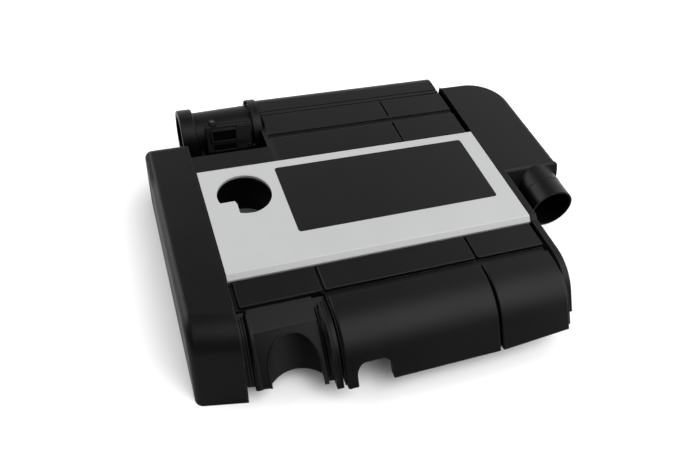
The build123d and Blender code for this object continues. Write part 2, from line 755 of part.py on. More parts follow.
def hole_collar():
    """Rolled-in collar of the filler hole, turned about the hole's axis."""
    r = HOLE_RADIUS
    roll = HOLE_ROLL
    t = PANEL_THICKNESS
    foot = PANEL_HEIGHT - HOLE_COLLAR
    centre_z = PANEL_HEIGHT - roll
    lean = roll * cos(radians(45))
    thin = (roll - t) * cos(radians(45))
    edges = [
        ThreePointArc((r + roll, PANEL_HEIGHT), (r + roll - lean, centre_z + lean), (r, centre_z)),
        Line((r, centre_z), (r, foot)),
        Line((r, foot), (r + t, foot)),
        Line((r + t, foot), (r + t, centre_z)),
        ThreePointArc((r + t, centre_z), (r + roll - thin, centre_z + thin), (r + roll, SEAT)),
        Line((r + roll, SEAT), (r + roll, PANEL_HEIGHT)),
    ]
    return Pos(*HOLE, 0) * revolve(Plane.XZ * make_face(Curve() + edges), Axis.Z)


def trim_panel():
    """Silver panel with front lip, rolled hole with tab, inlay pocket and pins."""
    lip = PANEL_FRONT - PANEL_LIP
    foot = FRONT_TOP - GROOVE
    face = rounded(
        (PANEL_REAR, SEAT, 0),
        (PANEL_REAR, PANEL_HEIGHT, 0),
        (PANEL_FRONT, PANEL_HEIGHT, 2 * EDGE),
        (lip, PANEL_HEIGHT - PANEL_LIP, 0),
        (lip, foot, 0),
        (LIP_BEND - SEAT + foot, foot, 0),
        (LIP_BEND, SEAT, 0),
    )
    panel = prism_x(face, PANEL_LEFT, PANEL_RIGHT)
    panel -= post(*HOLE, SEAT - WALL, PANEL_HEIGHT + WALL, HOLE_RADIUS + HOLE_ROLL)
    panel += hole_collar()
    x, y = HOLE
    reach = HOLE_RADIUS + HOLE_ROLL
    tab_face = rounded(
        (x - reach, y - reach, 0),
        (x - reach, y - TAB_EDGE, 0),
        (x - TAB_END, y - TAB_EDGE, TAB_CORNER),
        (x - TAB_END + TAB_CORNER, y - 2 * TAB_EDGE, 0),
        (x + 2 * TAB_CORNER, y - HOLE_RADIUS, 0),
        (x, y - reach, 0),
    )
    panel += prism_z(tab_face, SEAT, PANEL_HEIGHT) & post(x, y, SEAT, PANEL_HEIGHT, reach)
    bed = PANEL_HEIGHT + BADGE_PROUD - BADGE_THICKNESS
    panel -= prism_z(badge_outline(BADGE_GAP), bed, PANEL_HEIGHT + WALL)
    panel += [post(px, py, SEAT - STAKE_LENGTH, SEAT, STAKE_RADIUS) for px, py in stake_places()]
    return panel


def badge_outline(grow):
    """Plan of the inlay, grown by a clearance."""
    x0 = across(BADGE_LEFT) - grow
    x1 = across(BADGE_LEFT + BADGE_LENGTH) + grow
    y0 = along(BADGE_FRONT) - grow
    y1 = along(BADGE_FRONT + BADGE_DEPTH) + grow
    r = BADGE_CORNER + grow
    return rounded((x0, y0, r), (x0, y1, r), (x1, y1, r), (x1, y0, r))


def badge_panel():
    """Black inlay with a softened edge."""
    top = PANEL_HEIGHT + BADGE_PROUD
    solid = prism_z(badge_outline(0), top - BADGE_THICKNESS, top)
    return fillet(solid.faces().sort_by(Axis.Z)[-1].edges(), BADGE_PROUD)


def sensor_front():
    """Y of the flat face that the sensor is screwed to."""
    return DUCT_Y - DUCT_RADIUS - SENSOR_STAND


def leaning(solid):
    """A piece of the sensor, turned back about the duct's axis."""
    return Pos(0, DUCT_Y, DUCT_HEIGHT) * Rot(-SENSOR_TILT, 0, 0) * Pos(0, -DUCT_Y, -DUCT_HEIGHT) * solid


def sensor_screw_places():
    """Two screws of the sensor: in the lug at the upper left and at the lower right."""
    inset = SMALL_HEAD + EDGE
    dx = SENSOR_LENGTH / 2 - inset
    dz = SENSOR_TALL / 2 - inset
    x = across(SENSOR_X)
    return [(x - dx + SENSOR_LUG, DUCT_HEIGHT + dz + SENSOR_LUG), (x + dx, DUCT_HEIGHT - dz)]


def sensor_plate(y0, y1):
    """Plate of the sensor with the lug of its upper screw."""
    plate = sensor_block(across(SENSOR_X), DUCT_HEIGHT, SENSOR_LENGTH, SENSOR_TALL, y0, y1, SMALL_HEAD)
    x, z = sensor_screw_places()[0]
    wide = 2 * (SMALL_HEAD + EDGE)
    return plate + sensor_block(x, z - SENSOR_LUG / 2, wide, wide + SENSOR_LUG, y0, y1, SMALL_HEAD)


def sensor_block(x, z, length, tall, y0, y1, corner):
    """Block across the sensor's face with rounded corners."""
    solid = block(x - length / 2, x + length / 2, y0, y1, z - tall / 2, z + tall / 2)
    return fillet(solid.edges().filter_by(Axis.Y), corner)


def duct_screw_places():
    """Screws through the duct's flange, as (y, z) about its axis."""
    radius = (DUCT_SWELL + SOCKET_RADIUS) / 2
    angles = [radians(a) for a in (60, 180, 300)]
    return [(DUCT_Y + radius * cos(a), DUCT_HEIGHT + radius * sin(a)) for a in angles]


def duct_body(x0, x1, radius):
    """Solid cylinder on the duct's axis."""
    return pipe_x(x0, x1, DUCT_Y, DUCT_HEIGHT, radius)


def duct_cone(x0, x1, radius0, radius1):
    """Solid cone on the duct's axis."""
    return Pos((x0 + x1) / 2, DUCT_Y, DUCT_HEIGHT) * Rot(0, 90, 0) * Cone(radius0, radius1, x1 - x0)


def sensor_duct():
    """Round duct with collar, flange, spigot with seal groove, and sensor seat."""
    mouth = across(DUCT_MOUTH)
    end = MAIN_LEFT
    collar = duct_body(mouth, mouth + COLLAR_WIDTH, DUCT_RADIUS + COLLAR_HEIGHT)
    collar = chamfer(collar.edges().filter_by(GeomType.CIRCLE), EDGE)
    duct = collar + duct_cone(mouth + COLLAR_WIDTH - EDGE, SOCKET_LEFT, DUCT_NECK, DUCT_SWELL)
    duct += duct_body(SOCKET_LEFT - FLANGE, end, DUCT_RADIUS)
    duct += duct_body(SOCKET_LEFT - FLANGE, SOCKET_LEFT, SOCKET_RADIUS)
    x = across(SENSOR_X)
    z = DUCT_HEIGHT
    front = sensor_front()
    duct += leaning(sensor_plate(front, DUCT_Y))
    duct -= duct_body(mouth, end, DUCT_BORE)
    groove = MAIN_LEFT - SOCKET_LENGTH / 2
    duct -= (duct_body(groove - SEAL_WIDTH / 2, groove + SEAL_WIDTH / 2, SOCKET_RADIUS)
             - duct_body(groove - SEAL_WIDTH / 2, groove + SEAL_WIDTH / 2, DUCT_RADIUS - SEAL_DEPTH))
    probe = PROBE / 2 + FIT
    duct -= leaning(block(x - probe, x + probe, front, DUCT_Y, z - probe, z + probe))
    for sx, sz in sensor_screw_places():
        duct -= leaning(pipe_y(sx, front, front + 4 * SMALL_HEAD, sz, SMALL_SCREW + FIT / 2))
    for sy, sz in duct_screw_places():
        duct -= pipe_x(SOCKET_LEFT - FLANGE, SOCKET_LEFT, sy, sz, SCREW_RADIUS + FIT / 2)
    return duct


def duct_seal():
    """Ring seal in the spigot's groove."""
    middle = MAIN_LEFT - SOCKET_LENGTH / 2
    half = SEAL_WIDTH / 2 - FIT / 2
    ring = duct_body(middle - half, middle + half, DUCT_RADIUS + FIT)
    return ring - duct_body(middle - half, middle + half, DUCT_RADIUS - SEAL_DEPTH)


def flow_grid():
    """Flow straightener: a thin ring with crossed bars inside the spigot."""
    end = MAIN_LEFT
    start = end - GRID_THICKNESS
    ring = duct_body(start, end, DUCT_BORE) - duct_body(start, end, DUCT_BORE - WALL)
    bars = None
    count = int(DUCT_BORE / GRID_PITCH)
    for i in range(-count, count + 1):
        shift = i * GRID_PITCH
        for bar in (block(start, end, DUCT_Y + shift - GRID_BAR / 2, DUCT_Y + shift + GRID_BAR / 2,
                          DUCT_HEIGHT - DUCT_BORE, DUCT_HEIGHT + DUCT_BORE),
                    block(start, end, DUCT_Y - DUCT_BORE, DUCT_Y + DUCT_BORE,
                          DUCT_HEIGHT + shift - GRID_BAR / 2, DUCT_HEIGHT + shift + GRID_BAR / 2)):
            bars = bar if bars is None else bars + bar
    return ring + (bars & duct_body(start, end, DUCT_BORE - EDGE))


def air_flow_sensor():
    """Plug-in sensor: plate with slot and latch block, connector shroud, probe in the duct."""
    x = across(SENSOR_X)
    z = DUCT_HEIGHT
    front = sensor_front()
    face = front - SENSOR_PLATE
    plug_x = x - SHROUD_LEFT
    plug_z = z + SHROUD_RAISE
    well = SHROUD_LENGTH - 2 * SHROUD_WALL
    mouth = face - SHROUD_REACH
    plate = sensor_plate(face, front)
    plate -= sensor_block(plug_x, z - SLOT_DROP, well, SLOT_TALL, face, front, EDGE)
    shroud = sensor_block(plug_x, plug_z, SHROUD_LENGTH, SHROUD_TALL, mouth, face, 2 * EDGE)
    shroud -= sensor_block(plug_x, plug_z, well, SHROUD_TALL - 2 * SHROUD_WALL, mouth, face, EDGE)
    latch_x = plug_x + (SHROUD_LENGTH + LATCH_WIDTH) / 2
    latch = sensor_block(latch_x, plug_z, LATCH_WIDTH, LATCH_TALL, face - LATCH_REACH, face, EDGE)
    probe = block(x - PROBE / 2, x + PROBE / 2, front - EDGE, DUCT_Y + PROBE, z - PROBE / 2, z + PROBE / 2)
    sensor = plate + shroud + latch + probe
    for sx, sz in sensor_screw_places():
        sensor -= pipe_y(sx, face, front, sz, SMALL_SCREW + FIT / 2)
    return leaning(sensor)


def sensor_screws():
    """Small screws of the sensor."""
    face = sensor_front() - SENSOR_PLATE
    screws = []
    for x, z in sensor_screw_places():
        screws.append(leaning(pipe_y(x, face - SMALL_HEAD_TALL, face, z, SMALL_HEAD)
                              + pipe_y(x, face, face + SENSOR_PLATE + 3 * SMALL_HEAD, z, SMALL_SCREW)))
    return Compound(screws)


def duct_screws():
    """Screws of the duct's flange."""
    face = SOCKET_LEFT - FLANGE
    screws = []
    for y, z in duct_screw_places():
        screws.append(pipe_x(face - SCREW_HEAD_TALL, face, y, z, DUCT_SCREW_HEAD)
                      + pipe_x(face, face + FLANGE + SOCKET_LENGTH - WALL, y, z, SCREW_RADIUS))
    return Compound(screws)


def tub_face(depth):
    """Plan of the tray's tub with the channel to the wing, set in by a depth."""
    left = MAIN_LEFT + TUB_INSET + depth
    right = REAR_RIGHT - TUB_INSET - depth
    front = CHAMBER + TUB_INSET + depth
    back = CROSS_WALL - depth
    channel = along(CHANNEL_FRONT) + depth
    end = WING_RIGHT - CHANNEL_RIGHT - depth
    r = TUB_CORNER - depth
    return rounded((left, front, r), (left, back, r), (end, back, r), (end, channel, r),
                   (right, channel, r), (right, front, r))


def tub_fields():
    """Shallow fields in the tub's underside, with ribs between them."""
    left, right = MAIN_LEFT + TUB_CORNER, REAR_RIGHT - TUB_CORNER
    front, back = CHAMBER + TUB_CORNER, CROSS_WALL - TUB_CORNER
    dx = (right - left) / TUB_COLUMN_COUNT / 2 - RIB
    dy = (back - front) / TUB_ROW_COUNT / 2 - RIB
    return [block(x - dx, x + dx, y - dy, y + dy, LOW, TUB_FIELD)
            for x in spread(left, right, TUB_COLUMN_COUNT) for y in spread(front, back, TUB_ROW_COUNT)]


def airbox_tray():
    """Lower half of the air cleaner: flat plate with a tub and a rubber socket below it."""
    left = MAIN_LEFT - 2 * BOSS_RADIUS - 2 * WALL
    front = CHAMBER - 2 * BOSS_RADIUS - 2 * WALL
    plate = block(left, CENTRE_RIGHT, front, SHELF_REAR, TUB_TOP, SPLIT_HEIGHT)
    plate = fillet(plate.edges().filter_by(Axis.Z), TUB_CORNER / 2)
    plate += block(MAIN_LEFT, REAR_RIGHT, front, REAR, TUB_TOP, SPLIT_HEIGHT)
    tray = plate + prism_z(wing_outline(), TUB_TOP, SPLIT_HEIGHT)
    tub = prism_z(tub_face(0), 0, SPLIT_HEIGHT)
    tub = chamfer(tub.faces().sort_by(Axis.Z)[0].edges(), 2 * EDGE)
    tray += tub
    tray -= prism_z(tub_face(WALL), WALL, TUB_TOP)
    tray -= block(*filter_span(RIM_WIDTH)[:4], WALL, SPLIT_HEIGHT)
    tray -= tub_fields()
    ledge = WALL + TUB_CORNER / 2
    tray -= block(CENTRE_RIGHT + WALL, WING_RIGHT - CHANNEL_RIGHT - ledge,
                  along(CHANNEL_FRONT) + ledge, CROSS_WALL - ledge, WALL, SPLIT_HEIGHT)
    x, y = tray_post()
    tray += post(x, y, TUB_TOP - GROMMET_TALL - GROMMET_FLANGE, SPLIT_HEIGHT, POST_RADIUS)
    tray -= post(x, y, 0, TUB_TOP - GROMMET_FLANGE, GROMMET_RADIUS + FIT / 2)
    for sx, sy in boss_places():
        tray -= post(sx, sy, 0, SPLIT_HEIGHT + WALL, SCREW_RADIUS + FIT / 2)
    return tray


def filter_span(inset):
    """Plan limits of the filter, set in from the chamber's walls."""
    gap = inset + FIT
    return (MAIN_LEFT + WALL + gap, REAR_RIGHT - WALL - gap, CHAMBER + WALL + gap, CROSS_WALL - gap,
            SPLIT_HEIGHT, SPLIT_HEIGHT + FILTER_RIM)


def filter_rim():
    """Moulded rim of the panel filter."""
    rim = block(*filter_span(0))
    rim = fillet(rim.edges().filter_by(Axis.Z), 2 * EDGE)
    x0, x1, y0, y1, z0, z1 = filter_span(RIM_WIDTH + WALL)
    return rim - block(x0, x1, y0, y1, z0 - WALL, z1 + WALL)


def filter_pleats():
    """Folded paper, one zigzag sheet drawn out along Y."""
    x0, x1, y0, y1, z0, _ = filter_span(RIM_WIDTH + WALL)
    pitch = (x1 - x0) / PLEAT_COUNT
    low = z0 - PLEAT_BELOW
    high = low + PLEAT_TALL
    lower = []
    for i in range(PLEAT_COUNT):
        lower.append((x0 + i * pitch, low))
        lower.append((x0 + (i + 0.5) * pitch, high - PLEAT_SHEET))
    lower.append((x1, low))
    upper = [(x, z + PLEAT_SHEET) for x, z in lower]
    face = make_face(Polyline(*lower, *reversed(upper), close=True))
    return prism_y(face, y0, y1)


def tray_screws():
    """Screws that hold the tray to the cover."""
    screws = []
    for x, y in boss_places():
        screws.append(post(x, y, TUB_TOP - SCREW_HEAD_TALL, TUB_TOP, SCREW_HEAD)
                      + post(x, y, TUB_TOP, SPLIT_HEIGHT + SCREW_LENGTH - WALL, SCREW_RADIUS))
    return Compound(screws)


def mount_grommet(x, y, foot):
    """Rubber socket for a ball stud, with a flange below its seat."""
    body = post(x, y, foot, foot + GROMMET_TALL, GROMMET_RADIUS)
    flange = post(x, y, foot - GROMMET_FLANGE, foot, POST_RADIUS - EDGE)
    flange = chamfer(flange.edges().filter_by(GeomType.CIRCLE), EDGE)
    low = foot - GROMMET_FLANGE
    bore = post(x, y, low, low + STUD_NECK, STUD_RADIUS)
    pocket_bore = post(x, y, low + STUD_NECK, low + STUD_DEPTH, STUD_RADIUS + EDGE)
    return body + flange - bore - pocket_bore


def grommets():
    """Rubber sockets by node name."""
    nodes = {}
    for name, (x, y) in post_places().items():
        nodes[f"mount_grommet_{name}"] = mount_grommet(x, y, POST_HEIGHT)
    x, y = tray_post()
    nodes["mount_grommet_rear_right"] = mount_grommet(x, y, TUB_TOP - GROMMET_TALL - GROMMET_FLANGE)
    return nodes


def pieces():
    """Every node of the cover."""
    nodes = {
        "cover_shell": cover_shell(),
        "trim_panel": trim_panel(),
        "badge_panel": badge_panel(),
        "sensor_duct": sensor_duct(),
        "duct_seal": duct_seal(),
        "duct_screws": duct_screws(),
        "flow_grid": flow_grid(),
        "air_flow_sensor": air_flow_sensor(),
        "sensor_screws": sensor_screws(),
        "airbox_tray": airbox_tray(),
        "filter_rim": filter_rim(),
        "filter_pleats": filter_pleats(),
        "tray_screws": tray_screws(),
    }
    nodes.update(grommets())
    return nodes


os.makedirs("parts", exist_ok=True)
for name, solid in pieces().items():
    export_step(solid, f"parts/{name}.step")
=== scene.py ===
"""Engine cover with built-in air cleaner: finishes, fine hardware and studio round its solids."""
import logging
import math
from collections.abc import Callable, Sequence
from dataclasses import dataclass, field
from enum import Enum
from typing import ClassVar

import bmesh
import bpy
from mathutils import Matrix, Vector
from mathutils.bvhtree import BVHTree


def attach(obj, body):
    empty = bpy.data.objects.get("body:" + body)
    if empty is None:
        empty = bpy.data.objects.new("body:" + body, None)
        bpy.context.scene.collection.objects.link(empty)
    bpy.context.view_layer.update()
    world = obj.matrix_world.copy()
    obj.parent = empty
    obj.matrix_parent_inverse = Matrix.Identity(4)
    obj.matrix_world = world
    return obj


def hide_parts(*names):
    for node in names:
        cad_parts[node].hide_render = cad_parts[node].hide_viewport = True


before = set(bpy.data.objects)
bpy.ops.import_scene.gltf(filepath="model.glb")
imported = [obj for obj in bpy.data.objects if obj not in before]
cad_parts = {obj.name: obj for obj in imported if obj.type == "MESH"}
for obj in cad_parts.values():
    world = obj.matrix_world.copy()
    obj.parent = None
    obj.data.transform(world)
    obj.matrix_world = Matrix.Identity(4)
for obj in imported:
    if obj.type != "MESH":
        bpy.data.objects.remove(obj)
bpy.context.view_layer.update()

LOG = logging.getLogger("engine_cover")
MM = 0.001
BODY = "root"

Triple = tuple[float, float, float]
Colour = Triple
Socket = bpy.types.NodeSocket
Sockets = dict[str, Socket]


class Slot(str, Enum):
    """Material slots that the part's record names."""

    COVER = "cover_plastic"
    TRIM = "trim_paint"
    BADGE = "badge_plastic"
    DUCT = "duct_plastic"
    SEAL = "seal_rubber"
    SCREW = "screw_steel"
    GRID = "grid_plastic"
    SENSOR = "sensor_plastic"
    TRAY = "tray_plastic"
    FILTER_RUBBER = "filter_rubber"
    PAPER = "filter_paper"
    GROMMET = "grommet_rubber"


class Graph:
    """Places and links the nodes of one shader tree."""

    def __init__(self, tree: bpy.types.NodeTree) -> None:
        """Start on a tree.

        Args:
            tree: The material's or the group's node tree.
        """
        self.tree = tree

    def add(self, kind: str, **inputs: object) -> bpy.types.Node:
        """Place a node and set or link its inputs.

        Args:
            kind: The node's type name.
            inputs: Input names, with a value or an output socket to link from.

        Returns:
            The new node.
        """
        node = self.tree.nodes.new(kind)
        for name, value in inputs.items():
            self.feed(node.inputs[name], value)
        return node

    def feed(self, socket: Socket, value: object) -> None:
        """Set an input or link it.

        Args:
            socket: The input.
            value: A plain value, or an output socket.
        """
        if isinstance(value, bpy.types.NodeSocket):
            self.tree.links.new(value, socket)
        else:
            socket.default_value = value

    def math(self, operation: str, first: object, second: object = 0.0, clamp: bool = False) -> Socket:
        """Place a Math node.

        Args:
            operation: Blender's name of the operation.
            first: First value or socket.
            second: Second value or socket.
            clamp: Keep the result between 0 and 1.

        Returns:
            Its output.
        """
        node = self.tree.nodes.new("ShaderNodeMath")
        node.operation = operation
        node.use_clamp = clamp
        self.feed(node.inputs[0], first)
        self.feed(node.inputs[1], second)
        return node.outputs[0]

    def dot(self, first: object, second: object) -> Socket:
        """Place a dot product of two directions.

        Args:
            first: First direction or socket.
            second: Second direction or socket.

        Returns:
            Its output.
        """
        node = self.tree.nodes.new("ShaderNodeVectorMath")
        node.operation = "DOT_PRODUCT"
        self.feed(node.inputs[0], first)
        self.feed(node.inputs[1], second)
        return node.outputs["Value"]

    def ramp(self, value: Socket, low: float, high: float, start: float = 0.0, end: float = 1.0,
             smooth: bool = False) -> Socket:
        """Map a range of values onto another and clamp it.

        Args:
            value: The incoming value.
            low: Incoming value that gives start.
            high: Incoming value that gives end.
            start: First outgoing value.
            end: Last outgoing value.
            smooth: Ease in and out between them.

        Returns:
            The mapped value.
        """
        node = self.tree.nodes.new("ShaderNodeMapRange")
        node.interpolation_type = "SMOOTHSTEP" if smooth else "LINEAR"
        self.feed(node.inputs["Value"], value)
        for name, number in zip(("From Min", "From Max", "To Min", "To Max"), (low, high, start, end)):
            node.inputs[name].default_value = number
        return node.outputs["Result"]

    def blend(self, mask: Socket, first: object, second: object) -> Socket:
        """Mix two colours by a mask.

        Args:
            mask: 0 gives the first colour and 1 the second.
            first: Colour or socket.
            second: Colour or socket.

        Returns:
            The mixed colour.
        """
        node = self.tree.nodes.new("ShaderNodeMix")
        node.data_type = "RGBA"
        self.feed(node.inputs["Factor"], mask)
        colours = [s for s in node.inputs if s.type == "RGBA"]
        for socket, value in zip(colours, (first, second)):
            self.feed(socket, (*value, 1.0) if isinstance(value, tuple) else value)
        return next(s for s in node.outputs if s.type == "RGBA")

    def noise(self, vector: Socket, scale: object, detail: float = 2.0, rough: float = 0.5) -> Socket:
        """Place a Noise Texture.

        Args:
            vector: Coordinates.
            scale: Waves for each metre, a value or a socket.
            detail: Octaves.
            rough: Weight of the finer octaves.

        Returns:
            Its value.
        """
        node = self.add("ShaderNodeTexNoise", Vector=vector, Scale=scale, Detail=detail, Roughness=rough)
        return node.outputs[0]


def new_group(name: str, inputs: dict[str, str], outputs: dict[str, str]) -> tuple[Graph, Sockets, Sockets]:
    """Start a shader node group.

    Args:
        name: The group's name.
        inputs: Input names with their socket kinds.
        outputs: Output names with their socket kinds.

    Returns:
        The group's graph, the sockets that its inputs arrive on, and those that its outputs leave by.
    """
    tree = bpy.data.node_groups.new(name, "ShaderNodeTree")
    for label, kind in inputs.items():
        tree.interface.new_socket(name=label, in_out="INPUT", socket_type=f"NodeSocket{kind}")
    for label, kind in outputs.items():
        tree.interface.new_socket(name=label, in_out="OUTPUT", socket_type=f"NodeSocket{kind}")
    graph = Graph(tree)
    arrive = graph.add("NodeGroupInput")
    leave = graph.add("NodeGroupOutput")
    return graph, {s.name: s for s in arrive.outputs}, {s.name: s for s in leave.inputs}


class Effects:
    """Node groups that several finishes share, with their scales in waves for each metre."""

    FINER = 2.7
    COARSE_SHARE = 0.65
    FINE_SHARE = 0.35
    CLOUDS = 14.0
    PATCHES = 55.0
    SPOTS = 38.0
    STREAKS = (30.0, 900.0, 400.0)

    def __init__(self) -> None:
        """Build the groups."""
        self.grain = self._grain()
        self.wear_and_highlight = self._wear_and_highlight()
        self.film = self._film()

    def _grain(self) -> bpy.types.NodeTree:
        """Spark-eroded mould grain: a fine height, and slow clouds where it is duller.

        Returns:
            The group.
        """
        graph, into, out = new_group(
            "mould_grain",
            {"Vector": "Vector", "Per metre": "Float"},
            {"Height": "Float", "Cloud": "Float"},
        )
        coarse = graph.noise(into["Vector"], into["Per metre"], detail=3.0, rough=0.6)
        finer = graph.math("MULTIPLY", into["Per metre"], self.FINER)
        fine = graph.noise(into["Vector"], finer, detail=1.0)
        height = graph.math("ADD", graph.math("MULTIPLY", coarse, self.COARSE_SHARE),
                            graph.math("MULTIPLY", fine, self.FINE_SHARE))
        cloud = graph.noise(into["Vector"], self.CLOUDS, detail=4.0, rough=0.55)
        graph.feed(out["Height"], height)
        graph.feed(out["Cloud"], graph.ramp(cloud, low=0.3, high=0.7))
        return graph.tree

    def _wear_and_highlight(self) -> bpy.types.NodeTree:
        """Rubbed edges and painted edge highlights: a mask where the rounded normal leaves the flat one,
        broken up by noise.

        Returns:
            The group.
        """
        graph, into, out = new_group(
            "edge_wear_and_highlight",
            {"Vector": "Vector", "Flat": "Vector", "Rounded": "Vector"},
            {"Mask": "Float"},
        )
        bend = graph.ramp(graph.dot(into["Flat"], into["Rounded"]), low=0.995, high=0.86)
        patch = graph.noise(into["Vector"], self.PATCHES, detail=4.0, rough=0.6)
        patchiness = graph.ramp(patch, low=0.35, high=0.7, start=0.15)
        graph.feed(out["Mask"], graph.math("MULTIPLY", bend, patchiness, clamp=True))
        return graph.tree

    def _film(self) -> bpy.types.NodeTree:
        """Dust and handling: soft spots and faint fine streaks.

        Returns:
            The group.
        """
        graph, into, out = new_group(
            "handling_film", {"Vector": "Vector"}, {"Spots": "Float", "Streaks": "Float"}
        )
        spots = graph.noise(into["Vector"], self.SPOTS, detail=5.0, rough=0.65)
        stretch = graph.add("ShaderNodeMapping", Vector=into["Vector"], Scale=self.STREAKS)
        streaks = graph.noise(stretch.outputs[0], 1.0)
        graph.feed(out["Spots"], graph.ramp(spots, low=0.52, high=0.75))
        graph.feed(out["Streaks"], graph.ramp(streaks, low=0.55, high=0.8))
        return graph.tree


@dataclass(frozen=True)
class Finish:
    """One surface finish: its colours, gloss, grain, and rubbed edges that are partly wear and partly a
    painted highlight.

    The value for walls lowers the specular level on upright walls, and the bevel value does so for the left
    bevels of the rear blocks; both are painted shade that darkens these faces. WALL and LEFT are ranges of
    the surface normal's Z and X, and REAR is a range of places along Y.
    """

    SAMPLES: ClassVar[int] = 4
    CLOUD_SHARE: ClassVar[float] = 0.6
    SPOT_SHARE: ClassVar[float] = 0.4
    STREAK_SHARE: ClassVar[float] = 0.12
    WALL: ClassVar[tuple[float, float]] = (0.1, 0.6)
    LEFT: ClassVar[tuple[float, float]] = (-0.3, -0.5)
    REAR: ClassVar[tuple[float, float]] = (70 * MM, 90 * MM)

    slot: Slot
    colour: Colour
    cloudy: Colour
    # Colour on rounded edges: partly wear, partly a painted highlight.
    edge: Colour
    roughness: tuple[float, float]
    grain: float
    depth: float
    bump: float = 0.35
    rounding: float = 0.6 * MM
    metallic: float = 0.0
    specular: float = 0.5
    # Shares of the specular level left on upright walls and on the rear blocks' left bevels: painted shade.
    wall_shade: float = 1.0
    bevel: float = 1.0

    def material(self, effects: Effects) -> bpy.types.Material:
        """Build the finish as a node material on Object coordinates.

        Args:
            effects: The shared node groups.

        Returns:
            The material.
        """
        material = bpy.data.materials.new(self.slot.value)
        material.use_nodes = True
        graph = Graph(material.node_tree)
        shader = material.node_tree.nodes["Principled BSDF"]
        where = graph.add("ShaderNodeTexCoord").outputs["Object"]
        flat = graph.add("ShaderNodeNewGeometry").outputs["Normal"]
        bevel = graph.add("ShaderNodeBevel", Radius=self.rounding)
        bevel.samples = self.SAMPLES
        rounded = bevel.outputs[0]
        grain = self.group(graph, effects.grain, {"Vector": where, "Per metre": 1.0 / self.grain})
        wear_and_highlight = self.group(graph, effects.wear_and_highlight, {"Vector": where, "Flat": flat, "Rounded": rounded})
        film = self.group(graph, effects.film, {"Vector": where})
        base = graph.blend(grain["Cloud"], self.colour, self.cloudy)
        # Rounded edges take the edge colour: partly wear, partly a painted highlight.
        graph.feed(shader.inputs["Base Color"], graph.blend(wear_and_highlight["Mask"], base, self.edge))
        dull = graph.math("ADD", graph.math("MULTIPLY", grain["Cloud"], self.CLOUD_SHARE),
                          graph.math("MULTIPLY", film["Spots"], self.SPOT_SHARE))
        graph.feed(shader.inputs["Roughness"], graph.ramp(dull, 0.0, 1.0, *self.roughness))
        streaks = graph.math("MULTIPLY", film["Streaks"], self.STREAK_SHARE)
        relief = graph.math("ADD", grain["Height"], streaks)
        bump = graph.add("ShaderNodeBump", Strength=self.bump, Distance=self.depth,
                         Height=relief, Normal=rounded)
        graph.feed(shader.inputs["Normal"], bump.outputs[0])
        shader.inputs["Metallic"].default_value = self.metallic
        # The plain level stays on the socket for an export, which leaves a linked one out.
        level = shader.inputs["Specular IOR Level"]
        level.default_value = self.specular
        # Painted shade: upright walls and the rear blocks' left bevels get a lower specular level, so they
        # read darker.
        if self.wall_shade < 1.0:
            graph.feed(level, self.gloss(graph, where, flat))
        return material

    def gloss(self, graph: Graph, where: Socket, flat: Socket) -> Socket:
        """Paint shade by lowering the specular level on walls and on the rear blocks' left bevels.

        Args:
            graph: The material's graph.
            where: Object coordinates.
            flat: The surface normal.

        Returns:
            The specular level.
        """
        facing = graph.add("ShaderNodeSeparateXYZ", Vector=flat).outputs
        level = graph.ramp(facing["Z"], *self.WALL, self.specular * self.wall_shade, self.specular)
        if self.bevel == 1.0:
            return level
        rear = graph.add("ShaderNodeSeparateXYZ", Vector=where).outputs["Y"]
        shaded_bevels = graph.math("MULTIPLY", graph.ramp(facing["X"], *self.LEFT), graph.ramp(rear, *self.REAR))
        return graph.math("MULTIPLY", level, graph.ramp(shaded_bevels, 0.0, 1.0, 1.0, self.bevel))

    @staticmethod
    def group(graph: Graph, tree: bpy.types.NodeTree, inputs: dict[str, object]) -> Sockets:
        """Place a shared group.

        Args:
            graph: The material's graph.
            tree: The group.
            inputs: Input names with values or sockets.

        Returns:
            The group's outputs by name.
        """
        node = graph.add("ShaderNodeGroup")
        node.node_tree = tree
        for name, value in inputs.items():
            graph.feed(node.inputs[name], value)
        return {s.name: s for s in node.outputs}


